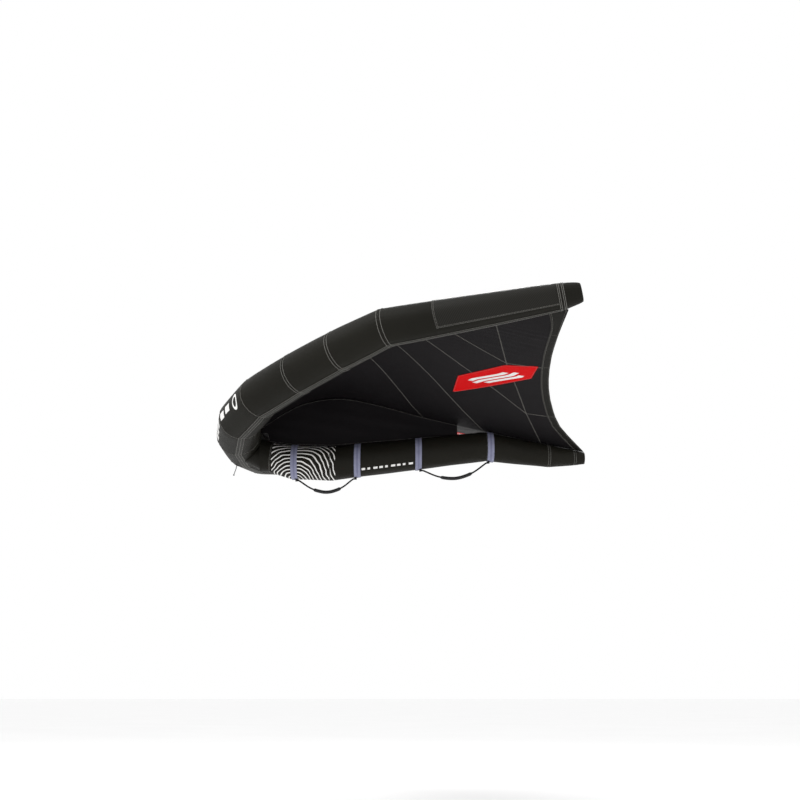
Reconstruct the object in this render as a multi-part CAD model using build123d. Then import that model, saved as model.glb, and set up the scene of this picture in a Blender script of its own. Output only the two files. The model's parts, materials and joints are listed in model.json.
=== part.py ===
from build123d import *
import math
import os

# Inflatable hand wing of about five square metres: a swept leading edge tube with raised tips, a
# central strut, a single skin canopy over both, a web between strut and canopy, and soft handles.
# Frame: +X aft, from nose to tail, +Y starboard, +Z up. The origin is the middle of the front grip.
# Every length is in millimetres and every angle in degrees.

# ---- leading edge tube: centre line rings of the right half, mirrored for the left half ----
# (x, y, z, radius, angle of the canopy's seam round the tube, 0 facing aft and 90 facing up)
LE_RINGS = [
    (-535, 155, 322, 126, 35),
    (-477, 430, 343, 124, 32),
    (-336, 675, 394, 120, 27),
    (-105, 889, 460, 115, 20),
    (128, 1059, 527, 108, 12),
    (376, 1213, 596, 100, 2),
    (1241, 1402, 684, 67, -30),
]
TIP_END = (1338, 1423, 698, 47)
SKIN = 1.2  # wall of tube panels, doublers and canopy, a little over the real cloth
GAP = 0.4  # room between sewn layers
BLADDER_GAP = 2.0
BLADDER_SKIN = 1.2

# ---- strut: (x, z, radius) of its centre line in the plane of symmetry ----
STRUT_NOSE = (-500, 262, 70)
STRUT_RINGS = [
    (-400, 234, 92),
    (-212, 189, 105),
    (20, 180, 105),
    (983, 289, 91),
    (1372, 227, 69),
    (1527, 216, 46),
]
STRUT_END = (1587, 214, 36)

# ---- canopy ----
SYMMETRY_LINE = [  # (x, z) of the canopy above the strut, from the leading edge to the tail
    (-200, 556),
    (48, 611),
    (250, 580),
    (585, 484),
    (804, 427),
    (983, 386),
    (1203, 336),
    (1372, 301),
    (1587, 256),
]
TRAILING_EDGE = [
    (1587, 0, 256),
    (1431, 200, 340),
    (1377, 300, 376),
    (1302, 550, 460),
    (1264, 860, 529),
    (1265, 1130, 583),
    (1288, 1345, 643),
]
CAMBER = [(0, 0), (0.1, 0.6), (0.24, 0.97), (0.33, 1), (0.49, 0.8), (0.7, 0.42), (0.88, 0.14), (1, 0)]
CAMBER_RATIO = [(0, 0.125), (640, 0.12), (1050, 0.10), (1200, 0.06), (1360, 0.03)]
CENTRE_BLEND = 260  # how far out the strut's line still shapes the canopy
CANOPY_SEAM_GAP = 2.0  # from tube wall to the canopy's front edge
# Seams of the right half in plan view, each (x, y) to (x, y).
SEAM_A = [(124, 950), (592, 0)]
SEAM_B = [(270, 1067), (973, 0)]
SEAM_C = [(388, 1101), (1196, 321)]
SEAM_D = [(517, 1153), (1031, 808)]
SEAM_E = [(915, 1277), (1031, 808), (1196, 321), (1327, 0)]
STATION_STEP = 110  # spacing of the ribs that the canopy panels are lofted through
POINT = 5  # a panel's sharp corner is cut off where it is this narrow

# ---- trims ----
BAND_WIDTH = 43  # doubler along the trailing edge
BAND_SKIN = 1.6  # the doubler's cloth, folded over at the edge
BAND_DROP = 2.5  # from the canopy's upper face to the doubler's, clear of the canopy's folds
SEAM_BAND = (-96, -78)  # doubler under the tube, between two angles round it
TIP_PATCH = (75, 236)  # doubler round the outer side of the last tube panel
TIP_PATCH_START = 0.3  # share of the last tube panel ahead of the patch
ACCENT_FRONT = [(1205, 820), (1025, 786), (778, 593), (758, 407)]
ACCENT_REAR = [(1205, 820), (1183, 686), (758, 407)]
ACCENT_DROP = 4.5  # from the canopy's upper face to the accent patch's, clear of the canopy's folds

# ---- web between strut and canopy ----
WEB_REAR_X = 804
WEB_FRONT_X = -382
WEB_SEAM = 4.5  # turned edge between the web and what it is sewn to

# ---- straps round the strut, and the handles under it ----
STRAP_X = [-201, 186, 561, 1007]
STRAP_WIDTH = 40
STRAP_THICKNESS = 1.6
STRAP_GAP = 1.0  # room between a strap and the strut
LOOP_BORE_R = 5.4  # keeper loop sewn under each strap, where a handle swings
LOOP_WALL = 1.8
LOOP_LENGTH = 16
HANDLE_R = 5.0  # rolled webbing
GRIP_R = 10.5
GRIP_BORE_R = 5.4
FRONT_HANDLE_DEPTH = 81
REAR_HANDLE_DEPTH = 76
FRONT_HANDLE_LOW = 0.5135  # share of the way along the handle to its lowest point
REAR_HANDLE_LOW = 0.5

# ---- inflation valve on the right of the strut, in the second tube panel ----
VALVE_SHARE = 0.5  # place along the panel between the first two rings
VALVE_ANGLE = 8
PORT_R = 10.5
PORT_LENGTH = 14
VALVE_R = 19
FLANGE_R = 29
HINGE_REACH = 23.5  # from the valve's middle to the cap's hinge
NECK_TOP = 5.0
CAP_THICKNESS = 2.6
PIN_R = 1.4

# ---- link hose from the tube to the strut ----
HOSE_R = 6
HOSE_SHARE = 0.21
HOSE_ANGLE = -28
HOSE_STRUT_X = -245
HOSE_SOCKET = 10  # how deep the socket is that the hose is glued into
HOSE_ROUTE = [
    (-407.5, 198, 264.7),
    (-368.8, 193.2, 244),
    (-328, 189, 224),
    (-288, 180, 208),
    (-259, 162, 199.5),
    (-245, 137.3, 197),
    (-245, 109, 197),
]
FITTING_REACH = 14  # from the tube's wall to the face where the hose is pushed on

# ---- leash pigtail under the nose ----
PIGTAIL_R = 2.5
PIGTAIL_Y = 135
TAB_ANGLES = (-122, -108)
TAB_THICKNESS = 1.6
KNOT_R = 6
PIGTAIL_ROUTE = [
    (-588, 143.5, 206),
    (-589, 143.5, 189),
    (-593, 143.5, 173),
    (-599, 143.5, 157),
    (-603, 143.5, 141),
]


# ------------------------------------------------------------------ small helpers
def vec(x, y, z):
    return Vector(x, y, z)


def curve_value(points, t):
    """Smooth value through (position, value) points, level at its outer ends' own slopes."""
    last = len(points) - 1
    t = min(max(t, points[0][0]), points[last][0])
    i = max(k for k in range(last) if points[k][0] <= t or k == 0)
    (x0, v0), (x1, v1) = points[i], points[i + 1]
    before = points[i - 1] if i > 0 else (2 * x0 - x1, 2 * v0 - v1)
    after = points[i + 2] if i + 2 <= last else (2 * x1 - x0, 2 * v1 - v0)
    slope0 = (v1 - before[1]) / (x1 - before[0])
    slope1 = (after[1] - v0) / (after[0] - x0)
    span = x1 - x0
    s = (t - x0) / span
    return (
        v0 * (1 + 2 * s) * (1 - s) ** 2
        + slope0 * span * s * (1 - s) ** 2
        + v1 * s * s * (3 - 2 * s)
        + slope1 * span * s * s * (s - 1)
    )


def line_value(points, t):
    """Straight-line value through (position, value) points."""
    for (x0, v0), (x1, v1) in zip(points, points[1:]):
        if t <= x1:
            break
    return v0 + (v1 - v0) * (t - x0) / (x1 - x0)


def mirrored(solid):
    return solid.mirror(Plane.XZ)


def save(shape, node):
    export_step(Part() + shape, f"parts/{node}.step")


def save_pair(shape, node):
    save(shape, node + "_right")
    save(mirrored(shape), node + "_left")


# ------------------------------------------------------------------ leading edge rings
class Ring:
    """One seam ring of the leading edge: its centre, radius, and the plane that it lies in."""

    def __init__(self, centre, radius, along, seam_angle=0):
        self.centre, self.radius, self.seam_angle = centre, radius, seam_angle
        self.along = along.normalized()
        self.aft = self.along.cross(vec(0, 0, 1)).normalized()
        self.up = self.aft.cross(self.along).normalized()

    def plane(self):
        return Plane(origin=self.centre, x_dir=self.aft, z_dir=self.aft.cross(self.up))

    def point(self, angle, radius=None):
        radius = self.radius if radius is None else radius
        a = math.radians(angle)
        return self.centre + self.aft * (radius * math.cos(a)) + self.up * (radius * math.sin(a))

    def outward(self, angle):
        return (self.point(angle, 1) - self.centre).normalized()


def make_rings():
    centres = [vec(x, y, z) for x, y, z, _, _ in LE_RINGS]
    ends = [vec(centres[0].X, -centres[0].Y, centres[0].Z)] + centres + [vec(*TIP_END[:3])]
    rings = []
    for i, (_, _, _, radius, seam_angle) in enumerate(LE_RINGS):
        before = (ends[i + 1] - ends[i]).normalized()
        after = (ends[i + 2] - ends[i + 1]).normalized()
        rings.append(Ring(centres[i], radius, before + after, seam_angle))
    rings.append(Ring(vec(*TIP_END[:3]), TIP_END[3], ends[-1] - ends[-2], LE_RINGS[-1][4]))
    return rings


RINGS = make_rings()


def mirror_ring(ring):
    centre = vec(ring.centre.X, -ring.centre.Y, ring.centre.Z)
    along = vec(-ring.along.X, ring.along.Y, -ring.along.Z)
    return Ring(centre, ring.radius, along, ring.seam_angle)


def ring_between(a, b, share, turn=True):
    """A ring part of the way from one seam ring to the next."""
    centre = a.centre + (b.centre - a.centre) * share
    along = a.along + (b.along - a.along) * share
    radius = a.radius + (b.radius - a.radius) * share
    return Ring(centre, radius, along if turn else b.centre - a.centre, a.seam_angle)


def disc(ring, inset):
    return ring.plane() * Circle(ring.radius - inset)


def tube_shell(rings, skin=SKIN, inset=0):
    outer = loft([disc(r, inset) for r in rings], ruled=True)
    inner = loft([disc(r, inset + skin) for r in rings], ruled=True)
    return outer - inner


def sector(ring, low, high, inner, outer):
    """Thin curved strip of a ring between two angles, as a face in the ring's plane."""
    def at(angle, radius):
        a = math.radians(angle)
        return (radius * math.cos(a), radius * math.sin(a))

    r0, r1, middle = ring.radius + inner, ring.radius + outer, (low + high) / 2
    with BuildSketch() as flat:
        with BuildLine():
            ThreePointArc(at(low, r1), at(middle, r1), at(high, r1))
            Line(at(high, r1), at(high, r0))
            ThreePointArc(at(high, r0), at(middle, r0), at(low, r0))
            Line(at(low, r0), at(low, r1))
        make_face()
    return ring.plane() * flat.sketch


def tube_strip(rings, low, high, inner, outer):
    return loft([sector(r, low, high, inner, outer) for r in rings], ruled=True)


def leading_edge(valve_hole):
    centre_rings = [mirror_ring(RINGS[0]), RINGS[0]]
    save(tube_shell(centre_rings), "le_panel_center")
    for i in range(len(RINGS) - 2):
        panel = tube_shell([RINGS[i], RINGS[i + 1]])
        save(panel - valve_hole if i == 0 else panel, f"le_panel_{i + 1}_right")
        save(mirrored(panel), f"le_panel_{i + 1}_left")
    tip = loft([disc(RINGS[-2], 0), disc(RINGS[-1], 0)], ruled=True)
    hollow_end = ring_between(RINGS[-2], RINGS[-1], 0.97)
    tip -= loft([disc(RINGS[-2], SKIN), disc(hollow_end, SKIN)], ruled=True)
    save_pair(tip, "le_tip_cap")

    # The bladder is one long tube inside the panels, closed a little way short of each tip.
    last = ring_between(RINGS[-2], RINGS[-1], 0.6)
    closed = ring_between(RINGS[-2], RINGS[-1], 0.57)
    half = RINGS[:-1]
    left = [mirror_ring(r) for r in reversed(half)]
    outer = [mirror_ring(last)] + left + half + [last]
    inner = [mirror_ring(closed)] + left + half + [closed]
    wall = SKIN + BLADDER_GAP
    bladder = loft([disc(r, wall) for r in outer], ruled=True)
    bladder -= loft([disc(r, wall + BLADDER_SKIN) for r in inner], ruled=True)
    save(bladder - valve_hole, "le_bladder")


# ------------------------------------------------------------------ canopy surface
def attach_line():
    """Where the canopy leaves the tube, from the symmetry plane to the last ring."""
    rings = RINGS[:-1]
    halfway = ring_between(rings[-2], rings[-1], 0.5)
    halfway.seam_angle = (rings[-2].seam_angle + rings[-1].seam_angle) / 2
    rings = rings[:-1] + [halfway, rings[-1]]
    points = [r.point(r.seam_angle, r.radius + CANOPY_SEAM_GAP) for r in rings]
    return [vec(points[0].X, 0, points[0].Z)] + points


ATTACH = attach_line()
FRONT_X = [(p.Y, p.X) for p in ATTACH]
FRONT_Z = [(p.Y, p.Z) for p in ATTACH]
REAR_X = [(y, x) for x, y, z in TRAILING_EDGE]
REAR_Z = [(y, z) for x, y, z in TRAILING_EDGE]
CENTRE_Z = [(ATTACH[0].X, ATTACH[0].Z)] + SYMMETRY_LINE
CENTRE_CAMBER = [((x - CENTRE_Z[0][0]) / (CENTRE_Z[-1][0] - CENTRE_Z[0][0]), z) for x, z in CENTRE_Z]


def rear_x(y):
    return curve_value(REAR_X, y)


def front_x(y):
    return line_value(FRONT_X, y)


def canopy_z(x, y):
    """Height of the canopy's upper face at a place in plan view."""
    y = min(abs(y), ATTACH[-1].Y)
    x0, x1 = front_x(y), rear_x(y)
    u = min(max((x - x0) / (x1 - x0), 0), 1)
    z0, z1 = line_value(FRONT_Z, y), curve_value(REAR_Z, y)
    ratio = curve_value(CAMBER_RATIO, y)
    height = z0 + (z1 - z0) * u + ratio * (x1 - x0) * curve_value(CAMBER, u)
    c0, c1, root = CENTRE_Z[0][1], CENTRE_Z[-1][1], CENTRE_Z[-1][0] - CENTRE_Z[0][0]
    plain = c0 + (c1 - c0) * u + CAMBER_RATIO[0][1] * root * curve_value(CAMBER, u)
    strut_line = curve_value(CENTRE_CAMBER, u) - plain
    return height + strut_line * math.exp(-((y / CENTRE_BLEND) ** 2))


def rib(x0, x1, y, drop=0, skin=SKIN):
    """Thin curved strip in the plane of one y, a given drop below the canopy's upper face."""
    count = max(3, min(9, int((x1 - x0) / 160) + 3))
    xs = [x0 + (x1 - x0) * i / (count - 1) for i in range(count)]
    top = [vec(x, y, canopy_z(x, y) - drop) for x in xs]
    low = [p - vec(0, 0, skin) for p in top]
    edges = [
        Spline(*top),
        Line(top[-1], low[-1]),
        Spline(*reversed(low)),
        Line(low[0], top[0]),
    ]
    return Face(Wire(edges))


def seam(points):
    """A seam's x as a function of y."""
    ordered = sorted((y, x) for x, y in points)
    return lambda y: line_value(ordered, y)


def behind_tube(line):
    """The seam, or the canopy's front edge where the seam has already run into the tube."""
    return lambda y: max(line(y), front_x(y))


def meets_tube(line, low, high):
    """The y at which a seam runs into the tube."""
    while high - low > 0.1:
        middle = (low + high) / 2
        if line(middle) > front_x(middle):
            low = middle
        else:
            high = middle
    return low


def stations(low, high, knots=()):
    """Rib places from one y to another, with the corners of the outline among them."""
    marks = sorted({low, high, *[k for k in knots if low < k < high]})
    ys = [low]
    for a, b in zip(marks, marks[1:]):
        n = max(1, round((b - a) / STATION_STEP))
        ys += [a + (b - a) * i / n for i in range(1, n + 1)]
    return ys


def cloth(front, rear, low, high, knots=(), drop=0, skin=SKIN):
    """Panel of cloth between two lines, each a function of y, as one lofted solid."""
    step = 1 if high > low else -1
    while rear(low) - front(low) < POINT:
        low += step
    while rear(high) - front(high) < POINT:
        high -= step
    ribs = [rib(front(y), rear(y), y, drop, skin) for y in stations(low, high, knots)]
    return loft(ribs, ruled=True)


def canopy():
    a, b, c, d, e = [seam(s) for s in (SEAM_A, SEAM_B, SEAM_C, SEAM_D, SEAM_E)]
    (_, d_corner), (_, c_corner) = SEAM_E[1], SEAM_E[2]
    root, tip = 0, ATTACH[-1].Y - 1
    tops = [meets_tube(line, d_corner, tip) for line in (a, b, c, d, e)]
    knots = [p.Y for p in ATTACH[1:-1]] + tops + [c_corner, d_corner]
    panels = [
        (front_x, a, root, tops[0]),
        (behind_tube(a), b, root, tops[1]),
        (behind_tube(b), lambda y: c(y) if y > c_corner else e(y), root, tops[2]),
        (behind_tube(c), lambda y: d(y) if y > d_corner else e(y), c_corner, tops[3]),
        (behind_tube(d), e, d_corner, tops[4]),
        (behind_tube(e), rear_x, d_corner, tip),
        (e, rear_x, c_corner, d_corner),
        (e, rear_x, root, c_corner),
    ]
    for i, (front, rear, low, high) in enumerate(panels):
        save_pair(cloth(front, rear, low, high, knots), f"canopy_panel_{i + 1}")

    # Doublers lie under the canopy's lower face.
    def band_front(y):
        slope = (rear_x(y + 1) - rear_x(y - 1)) / 2
        return rear_x(y) - BAND_WIDTH * math.sqrt(1 + slope * slope)

    between = [y for y in range(40, int(tip) - 60, 40) if all(abs(y - k) > 12 for k in knots)]
    band = cloth(band_front, rear_x, 4, tip - 60, knots + between, BAND_DROP, BAND_SKIN)
    save(Part() + [band, mirrored(band)], "te_bands")
    outline = [y for _, y in ACCENT_FRONT + ACCENT_REAR]
    patch = cloth(seam(ACCENT_FRONT), seam(ACCENT_REAR), min(outline), max(outline), outline, ACCENT_DROP)
    save(Part() + [patch, mirrored(patch)], "accent_patches")


def trims():
    half = RINGS[:-1]
    band = [mirror_ring(r) for r in reversed(half)] + half
    save(tube_strip(band, *SEAM_BAND, GAP, GAP + SKIN), "seam_band")
    start = ring_between(RINGS[-3], RINGS[-2], TIP_PATCH_START)
    patch = tube_strip([start, RINGS[-2]], *TIP_PATCH, GAP, GAP + SKIN)
    save(Part() + [patch, mirrored(patch)], "tip_patches")


# ------------------------------------------------------------------ strut
def make_strut_rings():
    shape = [STRUT_NOSE, *STRUT_RINGS, STRUT_END]
    centres = [vec(x, 0, z) for x, z, _ in shape]
    rings = []
    for i, (_, _, radius) in enumerate(shape):
        before = centres[max(i, 1)] - centres[max(i, 1) - 1]
        j = min(i, len(shape) - 2)
        after = centres[j + 1] - centres[j]
        along = before.normalized() + after.normalized()
        ring = Ring(centres[i], radius, along)
        ring.aft, ring.up = vec(0, 1, 0), vec(0, 1, 0).cross(ring.along * -1).normalized()
        rings.append(ring)
    return rings


STRUT = make_strut_rings()
STRUT_Z = [(r.centre.X, r.centre.Z) for r in STRUT]
STRUT_R = [(r.centre.X, r.radius) for r in STRUT]


def nose_cylinder(extra):
    """The middle of the leading edge tube, grown by a gap, to cut what ends against it."""
    ring = RINGS[0]
    middle = Pos(ring.centre.X, 0, ring.centre.Z) * Rot(90, 0, 0)
    return middle * Cylinder(ring.radius + extra, 2 * ring.centre.Y)


def strut():
    tube = nose_cylinder(2 * GAP + SKIN)
    save(tube_shell(STRUT[:4]) - tube, "strut_front")
    for i, name in ((3, "strut_mid"), (4, "strut_rear"), (5, "strut_tail")):
        save(tube_shell(STRUT[i : i + 2]), name)
    end = loft([disc(STRUT[-2], 0), disc(STRUT[-1], 0)], ruled=True)
    hollow_end = ring_between(STRUT[-2], STRUT[-1], 0.96)
    hollow_end.aft, hollow_end.up = STRUT[-1].aft, STRUT[-1].up
    end -= loft([disc(STRUT[-2], SKIN), disc(hollow_end, SKIN)], ruled=True)
    save(end, "strut_end_cap")

    wall = SKIN + BLADDER_GAP
    stop = STRUT[:-1]
    outer = loft([disc(r, wall) for r in stop], ruled=True) - nose_cylinder(GAP + wall)
    inner = loft([disc(r, wall + BLADDER_SKIN) for r in stop], ruled=True)
    inner -= nose_cylinder(GAP + wall + BLADDER_SKIN)
    inner -= Pos(STRUT[-2].centre.X + 95, 0, 0) * Box(200, 400, 2000)
    save(outer - inner, "strut_bladder")


def web():
    """Upright panel sewn between the strut and the canopy, slotted for the straps."""
    count = 9
    xs = [WEB_FRONT_X + (WEB_REAR_X - WEB_FRONT_X) * i / count for i in range(count + 1)]
    top = [vec(x, 0, canopy_z(x, 0) - SKIN - WEB_SEAM) for x in xs]
    corners = [xs[0], STRUT[2].centre.X, STRUT[3].centre.X, xs[-1]]
    foot = [vec(x, 0, line_value(STRUT_Z, x) + line_value(STRUT_R, x) + WEB_SEAM) for x in corners]
    foot.sort(key=lambda p: p.X)
    outline = Wire([Spline(*top), *Polyline(top[-1], *reversed(foot), top[0]).edges()])
    panel = extrude(Face(outline), amount=SKIN / 2, dir=(0, 1, 0), both=True)
    save(panel - nose_cylinder(40), "web_panel")


# ------------------------------------------------------------------ straps and handles
def strut_ring(x):
    for a, b in zip(STRUT, STRUT[1:]):
        if x <= b.centre.X:
            break
    share = (x - a.centre.X) / (b.centre.X - a.centre.X)
    ring = ring_between(a, b, share, turn=False)
    ring.aft = vec(0, 1, 0)
    ring.up = ring.aft.cross(ring.along * -1).normalized()
    return ring


def keeper_centre(x):
    ring = strut_ring(x)
    below = ring.radius + STRAP_GAP + STRAP_THICKNESS + LOOP_BORE_R + LOOP_WALL / 3
    return ring.centre - vec(0, 0, below / ring.up.Z)


def handle_ends(first, last):
    """Hinge line of a handle: from the keeper of one strap to the keeper of the next."""
    a = keeper_centre(STRAP_X[first] + STRAP_WIDTH / 2 - LOOP_LENGTH / 2)
    b = keeper_centre(STRAP_X[last] - STRAP_WIDTH / 2 + LOOP_LENGTH / 2)
    return a, b


HANDLES = {
    "front_handle": (handle_ends(0, 1), FRONT_HANDLE_DEPTH, FRONT_HANDLE_LOW),
    "rear_handle": (handle_ends(2, 3), REAR_HANDLE_DEPTH, REAR_HANDLE_LOW),
}


def grown_strut(extra):
    """The strut as one solid with a layer added all round it."""
    return loft([disc(r, -extra) for r in STRUT], ruled=True)


def straps():
    lines = [HANDLES["front_handle"][0]] * 2 + [HANDLES["rear_handle"][0]] * 2
    keepers = [lines[0][0], lines[1][1], lines[2][0], lines[3][1]]
    inner, outer = grown_strut(STRAP_GAP), grown_strut(STRAP_GAP + STRAP_THICKNESS)
    for i, (x, keeper, (a, b)) in enumerate(zip(STRAP_X, keepers, lines)):
        slab = Pos(x, 0, 0) * Box(STRAP_WIDTH, 1000, 2000)
        strap = (outer & slab) - inner
        hinge = Plane(origin=keeper, z_dir=b - a)
        loop = hinge * Cylinder(LOOP_BORE_R + LOOP_WALL, LOOP_LENGTH)
        loop -= hinge * Cylinder(LOOP_BORE_R, 2 * LOOP_LENGTH)
        save(strap + (loop - inner), f"strap_{i + 1}")


def handle_path(ends, depth, low):
    """Loop of rolled webbing, along the hinge line at each end and hanging between."""
    a, b = ends
    length = (b - a).length
    along = (b - a).normalized()
    down = vec(0, 1, 0).cross(along).normalized()
    if down.Z > 0:
        down = down * -1
    start = LOOP_LENGTH / 2 - 2
    exit_run = LOOP_LENGTH / 2 + 5
    shape = [(-start, 0), (exit_run, 0), (0.5 * low * length, 0.74 * depth), (low * length, 1.06 * depth),
             (0.5 * (1 + low) * length, 0.74 * depth), (length - exit_run, 0), (length + start, 0)]
    points = [a + along * s + down * d for s, d in shape]
    radii = []
    for p, q, r in zip(points, points[1:], points[2:]):
        turn = math.radians((q - p).get_angle(r - q))
        shorter = min((q - p).length, (r - q).length)
        radii.append(0.45 * shorter / math.tan(turn / 2))
    return FilletPolyline(*points, radius=radii), points[3]


def handles():
    for name, (ends, depth, low) in HANDLES.items():
        path, lowest = handle_path(ends, depth, low)
        at_start = Plane(origin=path @ 0, z_dir=path % 0)
        webbing = sweep(at_start * Circle(HANDLE_R), path=path)
        save(webbing, name + "_strap")
        grip = sweep(at_start * Circle(GRIP_R), path=path) - sweep(at_start * Circle(GRIP_BORE_R), path=path)
        half = 0.23 * (ends[1] - ends[0]).length
        grip &= Pos(lowest.X, 0, lowest.Z) * Box(2 * half, 200, 200)
        save(grip, name + "_grip")


# ------------------------------------------------------------------ valve, hose and pigtail
def upright(origin, out, across):
    """Plane with its z along out and its x along across."""
    return Plane(origin=origin, x_dir=across, z_dir=out)


VALVE_RING = ring_between(RINGS[0], RINGS[1], VALVE_SHARE)


def tube_body(a, b, extra):
    """Solid of one tube panel grown by a gap, to shape what is fitted on it."""
    return loft([disc(a, -extra), disc(b, -extra)], ruled=True)


def valve():
    out = VALVE_RING.outward(VALVE_ANGLE)
    wall = VALVE_RING.point(VALVE_ANGLE)
    seat = upright(wall, out, VALVE_RING.along)
    hole = seat * Pos(0, 0, -20) * Cylinder(VALVE_R - 3, 80)
    solids = {}
    flange = seat * Pos(0, 0, -4) * Cylinder(FLANGE_R, 12)
    flange -= tube_body(RINGS[0], RINGS[1], GAP)
    bore_top = NECK_TOP - 2.4
    neck_low = bore_top - PORT_LENGTH
    neck = seat * Pos(0, 0, (NECK_TOP + neck_low) / 2) * Cylinder(VALVE_R - 3.6, NECK_TOP - neck_low)
    base = flange + neck - seat * Cylinder(PORT_R, 60)
    base -= seat * Pos(0, 0, NECK_TOP) * Cylinder(PORT_R + 1.4, 4.8)
    hinge = seat * Pos(0, HINGE_REACH, NECK_TOP + CAP_THICKNESS / 2) * Rot(0, 90, 0)
    for side in (-1, 1):
        ear = seat * Pos(side * 6.5, HINGE_REACH, NECK_TOP / 2) * Box(3, 6, NECK_TOP + 4)
        base += ear - tube_body(RINGS[0], RINGS[1], GAP)
    base += hinge * Cylinder(PIN_R, 16)
    solids["valve_base"] = base
    cap = seat * Pos(0, 0, NECK_TOP + GAP + CAP_THICKNESS / 2) * Cylinder(VALVE_R - 2, CAP_THICKNESS)
    cap += seat * Pos(0, 0, NECK_TOP - 0.6) * Cylinder(PORT_R + 1.1, 2.4)
    arm_y = (HINGE_REACH + VALVE_R - 6) / 2
    cap += seat * Pos(0, arm_y, NECK_TOP + GAP + CAP_THICKNESS / 2) * Box(7, HINGE_REACH - VALVE_R + 6, CAP_THICKNESS)
    cap += hinge * Cylinder(3.0, 7)
    cap -= hinge * Cylinder(PIN_R + 0.08, 30)
    solids["valve_cap"] = cap
    solids["valve_flap"] = seat * Pos(0, 0, neck_low - 0.55) * Cylinder(PORT_R + 2.5, 1.0)
    return hole, solids


def smooth_path(points, straight=()):
    """Straight runs joined by tangent arcs, as large as the runs beside them allow."""
    radii = []
    for p, q, r in zip(points, points[1:], points[2:]):
        turn = math.radians((q - p).get_angle(r - q))
        radii.append(0.45 * min((q - p).length, (r - q).length) / math.tan(turn / 2))
    print("bend radii", [round(r, 1) for r in radii])
    return FilletPolyline(*points, radius=radii)


def tube_along(path, radius, bore=0):
    start = Plane(origin=path @ 0, z_dir=path % 0)
    tube = sweep(start * Circle(radius), path=path)
    return tube - sweep(start * Circle(bore), path=path) if bore else tube


def fitting(seat, body):
    """Saddle flange bonded to a tube, with the socket that a hose end is glued into."""
    flange = seat * Pos(0, 0, -2) * Cylinder(17, 8)
    neck = seat * Pos(0, 0, FITTING_REACH / 2 - 4) * Cylinder(9, FITTING_REACH + 8)
    socket = seat * Pos(0, 0, FITTING_REACH - HOSE_SOCKET / 2) * Cylinder(HOSE_R + 0.3, HOSE_SOCKET)
    return flange + neck - body - seat * Cylinder(3.5, 80) - socket


def hose():
    ring = ring_between(RINGS[0], RINGS[1], HOSE_SHARE)
    tube_seat = upright(ring.point(HOSE_ANGLE), ring.outward(HOSE_ANGLE), ring.along)
    side = strut_ring(HOSE_STRUT_X)
    strut_seat = upright(side.centre + side.aft * side.radius, side.aft, side.along)
    panel_body = tube_body(RINGS[0], RINGS[1], GAP)
    strut_body = tube_body(STRUT[1], STRUT[2], GAP)
    save(Part() + [fitting(tube_seat, panel_body), fitting(strut_seat, strut_body)], "hose_fittings")

    points = [vec(*p) for p in HOSE_ROUTE]
    save(tube_along(smooth_path(points), HOSE_R, HOSE_R - 2), "link_hose")
    run = points[3] - points[2]
    clamp = upright((points[2] + points[3]) / 2, run, vec(0, 0, 1).cross(run))
    clip = clamp * Box(30, 20, 8) - clamp * Cylinder(HOSE_R + GAP, 20)
    clip -= clamp * Pos(-12, 0, 0) * Box(14, 3, 20)
    save(clip, "hose_clip")


def pigtail():
    centre_rings = [mirror_ring(RINGS[0]), RINGS[0]]
    near = [ring_between(*centre_rings, (RINGS[0].centre.Y + y) / (2 * RINGS[0].centre.Y))
            for y in (PIGTAIL_Y - 7, PIGTAIL_Y + 7)]
    save(tube_strip(near, *TAB_ANGLES, GAP, GAP + TAB_THICKNESS), "leash_tab")
    path = smooth_path([vec(*p) for p in PIGTAIL_ROUTE])
    save(tube_along(path, PIGTAIL_R) - tube_body(*near, 2 * GAP + TAB_THICKNESS), "leash_pigtail")
    end = path @ 1
    knot = Pos(end.X, end.Y, end.Z) * Sphere(KNOT_R)
    save(knot - tube_along(path, PIGTAIL_R + 0.1), "leash_knot")


def main():
    os.makedirs("parts", exist_ok=True)
    hole, valve_solids = valve()
    leading_edge(hole)
    canopy()
    trims()
    strut()
    web()
    straps()
    handles()
    for name, solid in valve_solids.items():
        save(solid, name)
    hose()
    pigtail()


main()
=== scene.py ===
"""Looks of the inflatable hand wing: cloth, seams, webbing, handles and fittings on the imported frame."""
import json
import math

import bpy
import numpy as np
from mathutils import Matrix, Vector
from mathutils.bvhtree import BVHTree
from mathutils.kdtree import KDTree


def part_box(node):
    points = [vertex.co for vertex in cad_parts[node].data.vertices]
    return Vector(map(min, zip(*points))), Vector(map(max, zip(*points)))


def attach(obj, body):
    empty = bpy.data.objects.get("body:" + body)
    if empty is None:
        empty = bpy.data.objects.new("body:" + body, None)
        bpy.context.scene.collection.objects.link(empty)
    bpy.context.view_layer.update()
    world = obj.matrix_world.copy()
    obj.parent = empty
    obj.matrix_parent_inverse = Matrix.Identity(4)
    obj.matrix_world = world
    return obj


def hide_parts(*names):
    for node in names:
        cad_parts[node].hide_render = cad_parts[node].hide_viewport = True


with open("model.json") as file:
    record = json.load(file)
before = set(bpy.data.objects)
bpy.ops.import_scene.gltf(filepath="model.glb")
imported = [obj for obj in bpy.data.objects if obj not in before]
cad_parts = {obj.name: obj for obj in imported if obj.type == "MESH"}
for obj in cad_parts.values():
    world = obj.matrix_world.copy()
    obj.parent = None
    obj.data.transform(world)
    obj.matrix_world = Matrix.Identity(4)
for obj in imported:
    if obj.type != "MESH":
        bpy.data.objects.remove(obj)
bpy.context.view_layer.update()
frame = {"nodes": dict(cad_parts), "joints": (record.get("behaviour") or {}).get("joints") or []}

# ---- sizes, in metres, and angles round the tube, in degrees: 0 faces aft and 90 faces up ----
PANEL_BULGE = 0.0028  # how far air pressure rounds a tube panel out between its seams
PUCKER = 0.0011  # ripples of the cloth beside a seam
BEND_FOLD = 0.0030  # folds on the inside of the tube's bends
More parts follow.
